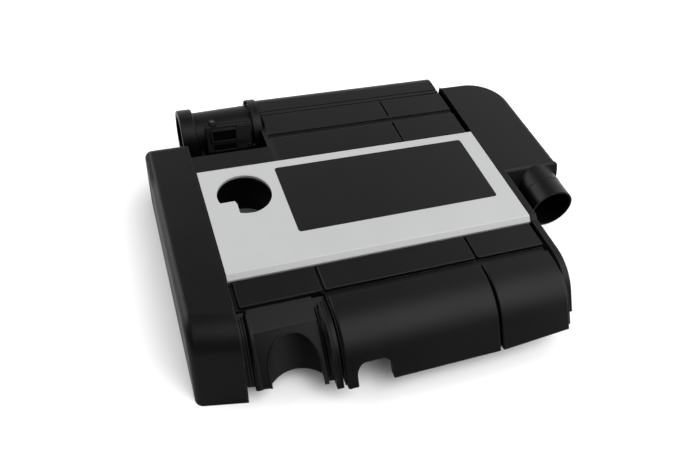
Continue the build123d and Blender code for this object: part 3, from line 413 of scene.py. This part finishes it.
FINISHES = (
    # The cover's edge colour, many times lighter than its base, paints highlights along its rounded edges.
    Finish(Slot.COVER, (0.0013, 0.0013, 0.0014), (0.0020, 0.0020, 0.0022), (0.030, 0.030, 0.031),
           roughness=(0.35, 0.43), grain=0.9 * MM, depth=0.05 * MM, rounding=1.3 * MM,
           specular=0.11, wall_shade=0.3, bevel=0.3),
    Finish(Slot.TRIM, (0.330, 0.332, 0.333), (0.344, 0.346, 0.347), (0.39, 0.39, 0.39),
           roughness=(0.40, 0.48), grain=0.5 * MM, depth=0.02 * MM, bump=0.15, metallic=0.2, specular=0.3),
    Finish(Slot.BADGE, (0.0023, 0.0023, 0.0024), (0.0029, 0.0029, 0.0030), (0.006, 0.006, 0.006),
           roughness=(0.40, 0.47), grain=0.7 * MM, depth=0.05 * MM, rounding=0.3 * MM, specular=0.12),
    Finish(Slot.DUCT, (0.0020, 0.0020, 0.0021), (0.0026, 0.0026, 0.0028), (0.009, 0.009, 0.0095),
           roughness=(0.36, 0.46), grain=1.4 * MM, depth=0.04 * MM, specular=0.10, wall_shade=0.4),
    Finish(Slot.SEAL, (0.0004, 0.0004, 0.0004), (0.0007, 0.0007, 0.0007), (0.002, 0.002, 0.002),
           roughness=(0.7, 0.85), grain=0.8 * MM, depth=0.05 * MM, rounding=0.2 * MM, specular=0.02),
    Finish(Slot.SCREW, (0.030, 0.030, 0.031), (0.022, 0.022, 0.023), (0.07, 0.07, 0.07),
           roughness=(0.34, 0.48), grain=0.4 * MM, depth=0.02 * MM, rounding=0.2 * MM, metallic=1.0),
    Finish(Slot.GRID, (0.0021, 0.0021, 0.0021), (0.0028, 0.0028, 0.0028), (0.008, 0.008, 0.008),
           roughness=(0.45, 0.55), grain=1.0 * MM, depth=0.04 * MM, rounding=0.2 * MM, specular=0.12),
    Finish(Slot.SENSOR, (0.0036, 0.0036, 0.0037), (0.0045, 0.0045, 0.0047), (0.014, 0.014, 0.014),
           roughness=(0.34, 0.46), grain=0.8 * MM, depth=0.04 * MM, specular=0.2, wall_shade=0.9),
    Finish(Slot.TRAY, (0.0022, 0.0022, 0.0024), (0.0030, 0.0030, 0.0031), (0.007, 0.007, 0.007),
           roughness=(0.42, 0.55), grain=1.2 * MM, depth=0.05 * MM, specular=0.125),
    Finish(Slot.FILTER_RUBBER, (0.009, 0.0093, 0.0115), (0.012, 0.013, 0.016), (0.022, 0.022, 0.024),
           roughness=(0.7, 0.85), grain=0.6 * MM, depth=0.08 * MM, specular=0.15),
    Finish(Slot.PAPER, (0.31, 0.26, 0.165), (0.35, 0.30, 0.20), (0.39, 0.34, 0.245),
           roughness=(0.85, 0.95), grain=0.5 * MM, depth=0.1 * MM, rounding=0.2 * MM, specular=0.15),
    Finish(Slot.GROMMET, (0.0032, 0.0032, 0.0032), (0.0046, 0.0046, 0.0046), (0.010, 0.010, 0.010),
           roughness=(0.55, 0.7), grain=0.9 * MM, depth=0.06 * MM, specular=0.18),
)


class Bench:
    """Operator steps that several sub-assemblies share."""

    MERGE = 1e-6
    CREASE = math.radians(35.0)
    FACE_WEIGHT = 100

    @staticmethod
    def deselect() -> None:
        """Leave nothing selected, in object mode."""
        if bpy.context.mode != "OBJECT":
            bpy.ops.object.mode_set(mode="OBJECT")
        bpy.ops.object.select_all(action="DESELECT")

    @classmethod
    def activate(cls, piece: bpy.types.Object) -> None:
        """Select one object alone and make it active.

        Args:
            piece: The object.
        """
        cls.deselect()
        piece.select_set(True)
        bpy.context.view_layer.objects.active = piece

    @classmethod
    def weld(cls, node: str, name: str) -> bpy.types.Object:
        """Copy a CAD node's mesh and weld it.

        Args:
            node: The CAD node.
            name: Name of the new piece.

        Returns:
            The new piece, active.
        """
        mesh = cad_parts[node].data.copy()
        mesh.name = name
        mesh.materials.clear()
        piece = bpy.data.objects.new(name, mesh)
        bpy.context.scene.collection.objects.link(piece)
        cls.activate(piece)
        bpy.ops.mesh.customdata_custom_splitnormals_clear()
        bpy.ops.object.mode_set(mode="EDIT")
        bpy.ops.mesh.select_all(action="SELECT")
        bpy.ops.mesh.remove_doubles(threshold=cls.MERGE)
        bpy.ops.object.mode_set(mode="OBJECT")
        return piece

    @classmethod
    def from_node(cls, node: str, name: str) -> bpy.types.Object:
        """Take a CAD node's place with a welded copy that is shaded by its creases.

        Args:
            node: The CAD node.
            name: Name of the new piece.

        Returns:
            The new piece.
        """
        piece = cls.weld(node, name)
        cls.shade(piece)
        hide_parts(node)
        return piece

    @classmethod
    def shade(cls, piece: bpy.types.Object) -> None:
        """Smooth a piece between its creases and keep its flat faces flat.

        Args:
            piece: The object.
        """
        cls.activate(piece)
        bpy.ops.object.shade_smooth_by_angle(angle=cls.CREASE)
        weigh = piece.modifiers.new("even_faces", "WEIGHTED_NORMAL")
        weigh.keep_sharp = True
        weigh.weight = cls.FACE_WEIGHT
        bpy.ops.object.modifier_apply(modifier=weigh.name)

    @classmethod
    def start(cls, name: str) -> bpy.types.Object:
        """Make an empty piece at the origin and open it in edit mode.

        Args:
            name: Name of the piece.

        Returns:
            The piece, active and in edit mode.
        """
        cls.deselect()
        piece = bpy.data.objects.new(name, bpy.data.meshes.new(name))
        bpy.context.scene.collection.objects.link(piece)
        cls.activate(piece)
        bpy.ops.object.mode_set(mode="EDIT")
        return piece

    @staticmethod
    def select_faces(piece: bpy.types.Object, wanted: Callable[[bmesh.types.BMFace], bool]) -> None:
        """Select the faces that pass a test, in edit mode.

        Args:
            piece: The piece that is being edited.
            wanted: Test of one face.
        """
        bpy.ops.mesh.select_all(action="DESELECT")
        mesh = bmesh.from_edit_mesh(piece.data)
        for face in mesh.faces:
            face.select_set(wanted(face))
        mesh.select_flush(True)
        bmesh.update_edit_mesh(piece.data)

    @staticmethod
    def push(move: Sequence[float], scale: float = 1.0) -> None:
        """Extrude what is selected and scale its end.

        Args:
            move: Way of the extrusion.
            scale: Scale of the end about its own middle.
        """
        bpy.ops.mesh.extrude_region_move(TRANSFORM_OT_translate={"value": tuple(move)})
        if scale != 1.0:
            bpy.ops.transform.resize(value=(scale, scale, scale))

    @classmethod
    def close(cls, piece: bpy.types.Object) -> bpy.types.Object:
        """Merge doubles, turn the faces outwards, leave edit mode and shade.

        Args:
            piece: The piece that is being edited.

        Returns:
            The same piece.
        """
        bpy.ops.mesh.select_all(action="SELECT")
        bpy.ops.mesh.remove_doubles(threshold=cls.MERGE)
        bpy.ops.mesh.normals_make_consistent(inside=False)
        bpy.ops.object.mode_set(mode="OBJECT")
        cls.shade(piece)
        return piece

    @classmethod
    def settle(cls, piece: bpy.types.Object, place: Matrix) -> None:
        """Put a place into a piece's mesh and leave its object at the origin.

        Args:
            piece: The piece, made round the origin.
            place: Where it goes.
        """
        cls.activate(piece)
        piece.matrix_world = place
        bpy.ops.object.transform_apply(location=True, rotation=True, scale=True)

    @classmethod
    def copies(cls, model: bpy.types.Object, places: Sequence[Matrix]) -> bpy.types.Object:
        """Copy a piece to several places and join the copies.

        Args:
            model: The piece, made round the origin; it becomes the first copy.
            places: Where the copies go.

        Returns:
            The joined piece.
        """
        placed = [model]
        for _ in places[1:]:
            twin = model.copy()
            twin.data = model.data.copy()
            bpy.context.scene.collection.objects.link(twin)
            placed.append(twin)
        for piece, place in zip(placed, places):
            cls.settle(piece, place)
        cls.activate(model)
        for piece in placed:
            piece.select_set(True)
        if len(placed) > 1:
            bpy.ops.object.join()
        return model

    @classmethod
    def carve(cls, piece: bpy.types.Object, tool: bpy.types.Object) -> None:
        """Take one piece's volume out of another and throw the tool away.

        Args:
            piece: The piece that is cut.
            tool: Closed piece that is taken out.
        """
        cls.activate(piece)
        cut = piece.modifiers.new("carve", "BOOLEAN")
        cut.operation = "DIFFERENCE"
        cut.solver = "EXACT"
        cut.object = tool
        bpy.ops.object.modifier_apply(modifier=cut.name)
        bpy.data.objects.remove(tool)
        cls.shade(piece)


@dataclass
class Assembly:
    """Base of the sub-assemblies: the finishes by slot, the pieces, and how these are dressed."""

    materials: dict[Slot, bpy.types.Material]
    pieces: list[bpy.types.Object] = field(default_factory=list)

    def build(self) -> None:
        """Make the pieces."""
        raise NotImplementedError

    def take(self, piece: bpy.types.Object, slot: Slot) -> bpy.types.Object:
        """Dress a piece and let it ride on the part.

        Args:
            piece: The object.
            slot: Its finish.

        Returns:
            The same object.
        """
        piece.data.materials.clear()
        piece.data.materials.append(self.materials[slot])
        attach(piece, BODY)
        self.pieces.append(piece)
        return piece

    def skin(self, node: str, slot: Slot) -> bpy.types.Object:
        """Take over a CAD node with a smoothed copy.

        Args:
            node: The CAD node.
            slot: Its finish.

        Returns:
            The copy.
        """
        return self.take(Bench.from_node(node, f"{node}_skin"), slot)


@dataclass(frozen=True)
class FillerHole:
    """Round filler hole in the trim panel, with a tab across its lower left."""

    centre: Vector = Vector((-167 * MM, 33 * MM, 90 * MM))
    radius: float = 35 * MM
    depth: float = 30 * MM
    tab_edge: float = -10.5 * MM
    tab_end: float = -13 * MM
    sides: int = 96


@dataclass
class Mouldings(Assembly):
    """Cover, tray, trim panel, inlay, duct, sensor and rubber sockets."""

    NODES: ClassVar[dict[str, Slot]] = {
        "cover_shell": Slot.COVER,
        "trim_panel": Slot.TRIM,
        "badge_panel": Slot.BADGE,
        "sensor_duct": Slot.DUCT,
        "duct_seal": Slot.SEAL,
        "flow_grid": Slot.GRID,
        "air_flow_sensor": Slot.SENSOR,
        "airbox_tray": Slot.TRAY,
        "filter_rim": Slot.FILTER_RUBBER,
        "filter_pleats": Slot.PAPER,
        "mount_grommet_front_left": Slot.GROMMET,
        "mount_grommet_front_right": Slot.GROMMET,
        "mount_grommet_rear_left": Slot.GROMMET,
        "mount_grommet_rear_right": Slot.GROMMET,
    }
    hole: FillerHole = FillerHole()

    def build(self) -> None:
        """Take over every node and open the filler hole to its full circle beside the tab."""
        for node, slot in self.NODES.items():
            skin = self.skin(node, slot)
            if node == "trim_panel":
                self._open_hole(skin)

    def _open_hole(self, panel: bpy.types.Object) -> None:
        """Cut the hole's circle clear, above the tab and to the right of it.

        Args:
            panel: The trim panel's copy.
        """
        hole = self.hole
        above = (hole.centre + Vector((0.0, hole.tab_edge, 0.0)), Vector((0.0, -1.0, 0.0)))
        beside = (hole.centre + Vector((hole.tab_end, 0.0, 0.0)), Vector((-1.0, 0.0, 0.0)))
        for plane, normal in (above, beside):
            tool = Bench.start("hole_cutter")
            bpy.ops.mesh.primitive_cylinder_add(vertices=hole.sides, radius=hole.radius, depth=hole.depth,
                                                location=hole.centre)
            bpy.ops.mesh.select_all(action="SELECT")
            bpy.ops.mesh.bisect(plane_co=plane, plane_no=normal, use_fill=True, clear_outer=True)
            Bench.carve(panel, Bench.close(tool))


@dataclass(frozen=True)
class DuctLine:
    """The duct's axis, and the turn about it that the sensor's pieces have."""

    axis: Vector = Vector((0.0, 194 * MM, 65 * MM))
    tilt: float = math.radians(-25.0)

    def leaning(self) -> Matrix:
        """Turn of the sensor's pieces.

        Returns:
            The turn.
        """
        there = Matrix.Translation(self.axis)
        return there @ Matrix.Rotation(self.tilt, 4, "X") @ there.inverted()


@dataclass(frozen=True)
class ScrewKind:
    """Sizes of one kind of screw, with its head along +Z from the seat at 0.

    Flange, wall, crown and recess are heights as shares of the head's, the rim is a share of its
    radius, and each taper is the width of an end as a share of its start.
    """

    node: str
    head: float
    tall: float
    shank: float
    length: float
    flange: float = 0.3
    wall: float = 0.45
    crown: float = 0.25
    recess: float = 0.5
    rim: float = 0.22
    flange_taper: float = 0.84
    wall_taper: float = 0.96
    crown_taper: float = 0.82
    recess_taper: float = 0.85


@dataclass
class Fasteners(Assembly):
    """Screws with flanged, domed heads and a recess, in place of the plain ones."""

    sides: int = 24
    tray: ScrewKind = ScrewKind(
        "tray_screws", head=4.5 * MM, tall=3.0 * MM, shank=2.0 * MM, length=14.0 * MM
    )
    tray_seat: float = 25 * MM
    tray_columns: tuple[float, ...] = (-66 * MM, 30 * MM, 126 * MM)
    tray_rows: tuple[float, ...] = (-79.5 * MM, 231.8 * MM)
    tray_left: float = -121.5 * MM
    tray_left_rows: tuple[float, ...] = (-24 * MM, 72 * MM)
    tray_right: float = 264.5 * MM
    tray_right_rows: tuple[float, ...] = (24 * MM, 146 * MM)
    duct: ScrewKind = ScrewKind(
        "duct_screws", head=3.4 * MM, tall=3.0 * MM, shank=2.0 * MM, length=12.0 * MM
    )
    flange_face: float = -123.5 * MM
    flange_radius: float = 37.5 * MM
    flange_angles: tuple[float, ...] = (60.0, 180.0, 300.0)
    sensor: ScrewKind = ScrewKind(
        "sensor_screws", head=2.8 * MM, tall=2.0 * MM, shank=1.3 * MM, length=10.0 * MM
    )
    lug_face: float = 156 * MM
    lugs: tuple[tuple[float, float], ...] = ((-179 * MM, 86 * MM), (-132 * MM, 51 * MM))
    line: DuctLine = DuctLine()

    def build(self) -> None:
        """Model each kind once and copy it to its places."""
        seats = [(x, y) for x in self.tray_columns for y in self.tray_rows]
        seats += [(self.tray_left, y) for y in self.tray_left_rows]
        seats += [(self.tray_right, y) for y in self.tray_right_rows]
        down = Matrix.Rotation(math.pi, 4, "X")
        self._fit(self.tray, [Matrix.Translation((x, y, self.tray_seat)) @ down for x, y in seats])
        arm = Vector((self.flange_face, self.flange_radius, 0.0))
        turns = [Matrix.Rotation(math.radians(angle), 3, "X") for angle in self.flange_angles]
        left = Matrix.Rotation(-math.pi / 2, 4, "Y")
        self._fit(self.duct, [Matrix.Translation(self.line.axis + turn @ arm) @ left for turn in turns])
        lean = self.line.leaning()
        front = Matrix.Rotation(math.pi / 2, 4, "X")
        self._fit(self.sensor, [lean @ Matrix.Translation((x, self.lug_face, z)) @ front
                                for x, z in self.lugs])

    def _fit(self, kind: ScrewKind, places: Sequence[Matrix]) -> None:
        """Put screws of one kind in their places.

        Args:
            kind: Sizes of the screw.
            places: Seats of the heads.
        """
        screws = Bench.copies(self._screw(kind), places)
        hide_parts(kind.node)
        self.take(screws, Slot.SCREW)

    def _screw(self, kind: ScrewKind) -> bpy.types.Object:
        """Draw a screw out of a disc: shank, flange, dome and recess.

        Args:
            kind: Sizes of the screw.

        Returns:
            The screw, round the origin.
        """
        screw = Bench.start(f"{kind.node}_heads")
        bpy.ops.mesh.primitive_circle_add(vertices=self.sides, radius=kind.shank, fill_type="NGON",
                                          location=(0.0, 0.0, -kind.length))
        Bench.push((0.0, 0.0, kind.length))
        Bench.push((0.0, 0.0, 0.0), kind.head / kind.shank)
        Bench.push((0.0, 0.0, kind.flange * kind.tall))
        Bench.push((0.0, 0.0, 0.0), kind.flange_taper)
        Bench.push((0.0, 0.0, kind.wall * kind.tall), kind.wall_taper)
        Bench.push((0.0, 0.0, kind.crown * kind.tall), kind.crown_taper)
        bpy.ops.mesh.inset(thickness=kind.rim * kind.head, depth=0.0)
        Bench.push((0.0, 0.0, -kind.recess * kind.tall), kind.recess_taper)
        return Bench.close(screw)


@dataclass
class Connector(Assembly):
    """Near-black sheets that paint shade into the sensor's plug well and the slot below it, and the blades
    in the well.
    """

    FRONT: ClassVar[float] = -0.9
    well: Vector = Vector((-166 * MM, 154.3 * MM, 70 * MM))
    well_size: Triple = (32.2 * MM, 3.3 * MM, 13.2 * MM)
    slot: Vector = Vector((-166 * MM, 157.9 * MM, 53 * MM))
    slot_size: Triple = (32.2 * MM, 2.1 * MM, 7.8 * MM)
    lip: float = 0.5 * MM
    blades: int = 5
    blade_pitch: float = 5.4 * MM
    blade_size: Triple = (1.6 * MM, 2.4 * MM, 0.8 * MM)
    blade_tip: float = 0.4 * MM
    blade_taper: float = 0.6
    line: DuctLine = DuctLine()

    def build(self) -> None:
        """Put near-black sheets of painted shade in the well and the slot, and set the blades."""
        self._shade_sheet("plug_well_shade", self.well, self.well_size)
        self._shade_sheet("slot_shade", self.slot, self.slot_size)
        offsets = [(i - (self.blades - 1) / 2) * self.blade_pitch for i in range(self.blades)]
        turn = self.line.leaning()
        places = [turn @ Matrix.Translation(self.well + Vector((x, 0.0, 0.0))) for x in offsets]
        self.take(Bench.copies(self._blade(), places), Slot.SCREW)

    def _shade_sheet(self, name: str, middle: Vector, size: Sequence[float]) -> None:
        """Hollow a block from its front into a near-black sheet that paints shade.

        Args:
            name: Name of the piece.
            middle: Middle of the block, before the sensor's turn.
            size: Its sizes along X, Y and Z.
        """
        shade_sheet = Bench.start(name)
        bpy.ops.mesh.primitive_cube_add(size=1.0, scale=size)
        Bench.select_faces(shade_sheet, lambda face: face.normal.y < self.FRONT)
        bpy.ops.mesh.inset(thickness=self.lip, depth=0.0)
        Bench.push((0.0, size[1] - self.lip, 0.0))
        Bench.close(shade_sheet)
        Bench.settle(shade_sheet, self.line.leaning() @ Matrix.Translation(middle))
        # The seal's near-black finish stands in for the shade in the well and the slot.
        self.take(shade_sheet, Slot.SEAL)

    def _blade(self) -> bpy.types.Object:
        """Draw one flat blade with a tapered tip.

        Returns:
            The blade, round the origin.
        """
        blade = Bench.start("plug_blades")
        bpy.ops.mesh.primitive_cube_add(size=1.0, scale=self.blade_size)
        Bench.select_faces(blade, lambda face: face.normal.y < self.FRONT)
        Bench.push((0.0, -self.blade_tip, 0.0), self.blade_taper)
        return Bench.close(blade)


@dataclass(frozen=True)
class Ridge:
    """Thin moulded ridge that follows the cover's surface between two places, all in millimetres."""

    name: str
    start: tuple[float, float]
    end: tuple[float, float]
    radius: float
    sink: float
    shift: float = 0.0


@dataclass
class Ridges(Assembly):
    """Ridges beside the front pocket and on the fin, and the bead on the rim of the scoop's arch.

    The rim is looked for in a box, where a face that leans to the front and up meets the arch's wall.
    The values named leans and wall are limits of the two faces' normals along Y and Z.
    """

    steps: int = 16
    drop: float = 30 * MM
    high: float = 200 * MM
    section: int = 3
    bead: float = 1.2 * MM
    rim_box: tuple[tuple[float, float], ...] = (
        (-196 * MM, -133 * MM),
        (-216 * MM, -168 * MM),
        (29 * MM, 80 * MM),
    )
    leans_front: float = -0.55
    leans_up: float = 0.65
    wall_front: float = 0.05
    wall_up: float = 0.1
    lines: tuple[Ridge, ...] = (
        Ridge("rail_ridge", (-221.2, -141.0), (-221.2, -222.0), radius=0.7, sink=0.3),
        Ridge("strip_ridge", (-215.6, -144.0), (-215.6, -206.0), radius=1.2, sink=0.3),
        Ridge("edge_ridge", (-212.2, -143.0), (-212.2, -206.0), radius=1.5, sink=0.2),
        Ridge("pad_ridge", (-206.2, -141.0), (-206.2, -207.0), radius=5.0, sink=4.7),
        Ridge("groove_ridge", (-127.4, -150.0), (-127.4, -216.0), radius=2.6, sink=0.3),
        Ridge("fin_ridge", (-120.8, -151.0), (-120.8, -226.0), radius=0.7, sink=0.3),
        Ridge("fin_edge", (-122.2, -149.0), (-122.2, -224.0), radius=2.2, sink=2.1, shift=-1.0),
        Ridge("fin_step", (-122.2, -152.0), (-122.2, -222.0), radius=2.4, sink=7.5, shift=-1.6),
        Ridge("fin_foot", (-122.2, -160.0), (-122.2, -218.0), radius=2.6, sink=13.5, shift=-2.2),
    )

    def build(self) -> None:
        """Lay every ridge on the cover and follow the rim."""
        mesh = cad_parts["cover_shell"].data
        cover = BVHTree.FromPolygons([v.co for v in mesh.vertices], [p.vertices for p in mesh.polygons])
        for line in self.lines:
            self.take(self._rod(line, self._trace(cover, line)), Slot.COVER)
        self.take(self._bead(), Slot.COVER)

    def _trace(self, cover: BVHTree, line: Ridge) -> list[Vector]:
        """Find the points under a line on the cover, as far as the surface runs on.

        Args:
            cover: The cover's surface.
            line: The ridge.

        Returns:
            Points from the line's start to its end.
        """
        points: list[Vector] = []
        for step in range(self.steps + 1):
            place = Vector(line.start).lerp(Vector(line.end), step / self.steps) * MM
            hit = cover.ray_cast(Vector((*place, self.high)), Vector((0.0, 0.0, -1.0)))[0]
            if hit is None or (points and points[-1].z - hit.z > self.drop):
                break
            points.append(hit + Vector((line.shift, 0.0, -line.sink)) * MM)
        return points

    def _rod(self, line: Ridge, points: Sequence[Vector]) -> bpy.types.Object:
        """Draw an edge along the points and give it a round section.

        Args:
            line: The ridge.
            points: Its route.

        Returns:
            The ridge as a mesh.
        """
        rod = Bench.start(line.name)
        bpy.ops.mesh.primitive_plane_add(size=line.radius * MM, location=points[0])
        bpy.ops.mesh.merge(type="CENTER")
        for here, there in zip(points, points[1:]):
            Bench.push(there - here)
        return self._round(rod, line.radius * MM)

    def _round(self, rod: bpy.types.Object, radius: float) -> bpy.types.Object:
        """Give a string of edges a round section.

        Args:
            rod: The piece that is being edited.
            radius: Radius of the section.

        Returns:
            The same piece as a closed mesh.
        """
        bpy.ops.object.mode_set(mode="OBJECT")
        bpy.ops.object.convert(target="CURVE")
        rod.data.bevel_depth = radius
        rod.data.bevel_resolution = self.section
        rod.data.use_fill_caps = True
        bpy.ops.object.convert(target="MESH")
        Bench.shade(rod)
        return rod

    def _bead(self) -> bpy.types.Object:
        """Copy the rim of the scoop's arch from the cover and round it.

        Returns:
            The bead as a mesh.
        """
        bead = Bench.weld("cover_shell", "scoop_bead")
        bpy.ops.object.mode_set(mode="EDIT")
        bpy.ops.mesh.select_mode(type="EDGE")
        bpy.ops.mesh.select_all(action="DESELECT")
        mesh = bmesh.from_edit_mesh(bead.data)
        for edge in mesh.edges:
            edge.select_set(not self._on_rim(edge))
        bmesh.update_edit_mesh(bead.data)
        bpy.ops.mesh.delete(type="EDGE")
        bpy.ops.mesh.select_mode(type="VERT")
        return self._round(bead, self.bead)

    def _on_rim(self, edge: bmesh.types.BMEdge) -> bool:
        """Tell whether the pad's slope meets the arch's wall at an edge.

        Args:
            edge: Edge of the cover.

        Returns:
            True on the rim.
        """
        middle = (edge.verts[0].co + edge.verts[1].co) / 2
        if not all(low < place < high for place, (low, high) in zip(middle, self.rim_box)):
            return False
        normals = [face.normal for face in edge.link_faces]
        slope = any(n.y < self.leans_front and n.z > self.leans_up for n in normals)
        return slope and any(abs(n.y) < self.wall_front and n.z < self.wall_up for n in normals)


@dataclass(frozen=True)
class Glow:
    """One soft field of light in the studio's sky."""

    towards: Triple
    spread: float
    strength: float

    def brightness(self, graph: Graph, direction: Socket) -> Socket:
        """Place the nodes of the field.

        Args:
            graph: The world's graph.
            direction: Direction that the sky is seen in.

        Returns:
            The field's share of the light in that direction.
        """
        towards = Vector(self.towards).normalized()
        rim = math.cos(math.radians(self.spread))
        return graph.ramp(graph.dot(direction, towards), rim, 1.0, 0.0, self.strength, smooth=True)


@dataclass(frozen=True)
class Studio:
    """Floor, light and the camera at the photograph's viewing angle."""

    floor_size: float = 60.0
    floor_tones: tuple[Colour, Colour] = ((0.82, 0.82, 0.82), (0.84, 0.84, 0.84))
    floor_waves: float = 3.0
    floor_roughness: float = 0.9
    floor_specular: float = 0.1
    sky: float = 0.2
    camera_place: Triple = (-0.3069, -0.6066, 0.7158)
    azimuth: float = math.radians(24.7)
    elevation: float = math.radians(46.35)
    roll: float = math.radians(7.78)
    lens: float = 36.0
    sensor: float = 36.0
    clip: float = 10 * MM
    glows: tuple[Glow, ...] = (
        Glow((0.29, -0.42, 0.86), spread=34.0, strength=4.10),
        Glow((0.85, -0.10, 0.50), spread=60.0, strength=2.25),
        Glow((0.10, 0.95, 0.30), spread=55.0, strength=0.90),
        Glow((-0.62, 0.63, 0.46), spread=35.0, strength=5.30),
    )

    def build(self) -> None:
        """Set up the stage."""
        self._floor()
        self._world()
        self._camera()
        bpy.context.scene.view_settings.view_transform = "Standard"

    def _floor(self) -> None:
        """Pale floor that runs out of sight."""
        Bench.deselect()
        bpy.ops.mesh.primitive_plane_add(size=self.floor_size)
        floor = bpy.context.object
        floor.name = "floor"
        material = bpy.data.materials.new("studio_floor")
        material.use_nodes = True
        graph = Graph(material.node_tree)
        shader = material.node_tree.nodes["Principled BSDF"]
        where = graph.add("ShaderNodeTexCoord").outputs["Object"]
        tone = graph.noise(where, self.floor_waves)
        graph.feed(shader.inputs["Base Color"], graph.blend(tone, *self.floor_tones))
        shader.inputs["Roughness"].default_value = self.floor_roughness
        shader.inputs["Specular IOR Level"].default_value = self.floor_specular
        floor.data.materials.append(material)

    def _world(self) -> None:
        """Even grey studio with soft fields of light."""
        world = bpy.data.worlds.new("studio")
        world.use_nodes = True
        graph = Graph(world.node_tree)
        direction = graph.add("ShaderNodeTexCoord").outputs["Generated"]
        total: Socket | float = self.sky
        for glow in self.glows:
            total = graph.math("ADD", glow.brightness(graph, direction), total)
        backdrop = world.node_tree.nodes["Background"]
        backdrop.inputs["Color"].default_value = (1.0, 1.0, 1.0, 1.0)
        graph.feed(backdrop.inputs["Strength"], total)
        bpy.context.scene.world = world

    def _camera(self) -> None:
        """Camera by place and three angles."""
        flat = math.cos(self.elevation)
        forward = Vector((math.sin(self.azimuth) * flat, math.cos(self.azimuth) * flat,
                          -math.sin(self.elevation)))
        level = Vector((math.cos(self.azimuth), -math.sin(self.azimuth), 0.0))
        rise = level.cross(forward)
        right = level * math.cos(self.roll) + rise * math.sin(self.roll)
        up = right.cross(forward)
        turn = Matrix((right, up, -forward)).transposed().to_4x4()
        data = bpy.data.cameras.new("photo_camera")
        data.lens = self.lens
        data.sensor_width = self.sensor
        data.sensor_fit = "HORIZONTAL"
        data.clip_start = self.clip
        camera = bpy.data.objects.new("photo_camera", data)
        camera.matrix_world = Matrix.Translation(self.camera_place) @ turn
        bpy.context.scene.collection.objects.link(camera)
        bpy.context.scene.camera = camera


def main() -> None:
    logging.basicConfig(level=logging.INFO, format="%(message)s")
    effects = Effects()
    materials = {finish.slot: finish.material(effects) for finish in FINISHES}
    for kind in (Mouldings, Fasteners, Connector, Ridges):
        assembly = kind(materials)
        assembly.build()
        for piece in assembly.pieces:
            LOG.info("%s: %d faces", piece.name, len(piece.data.polygons))
    Studio().build()


if __name__ == "__main__":
    main()
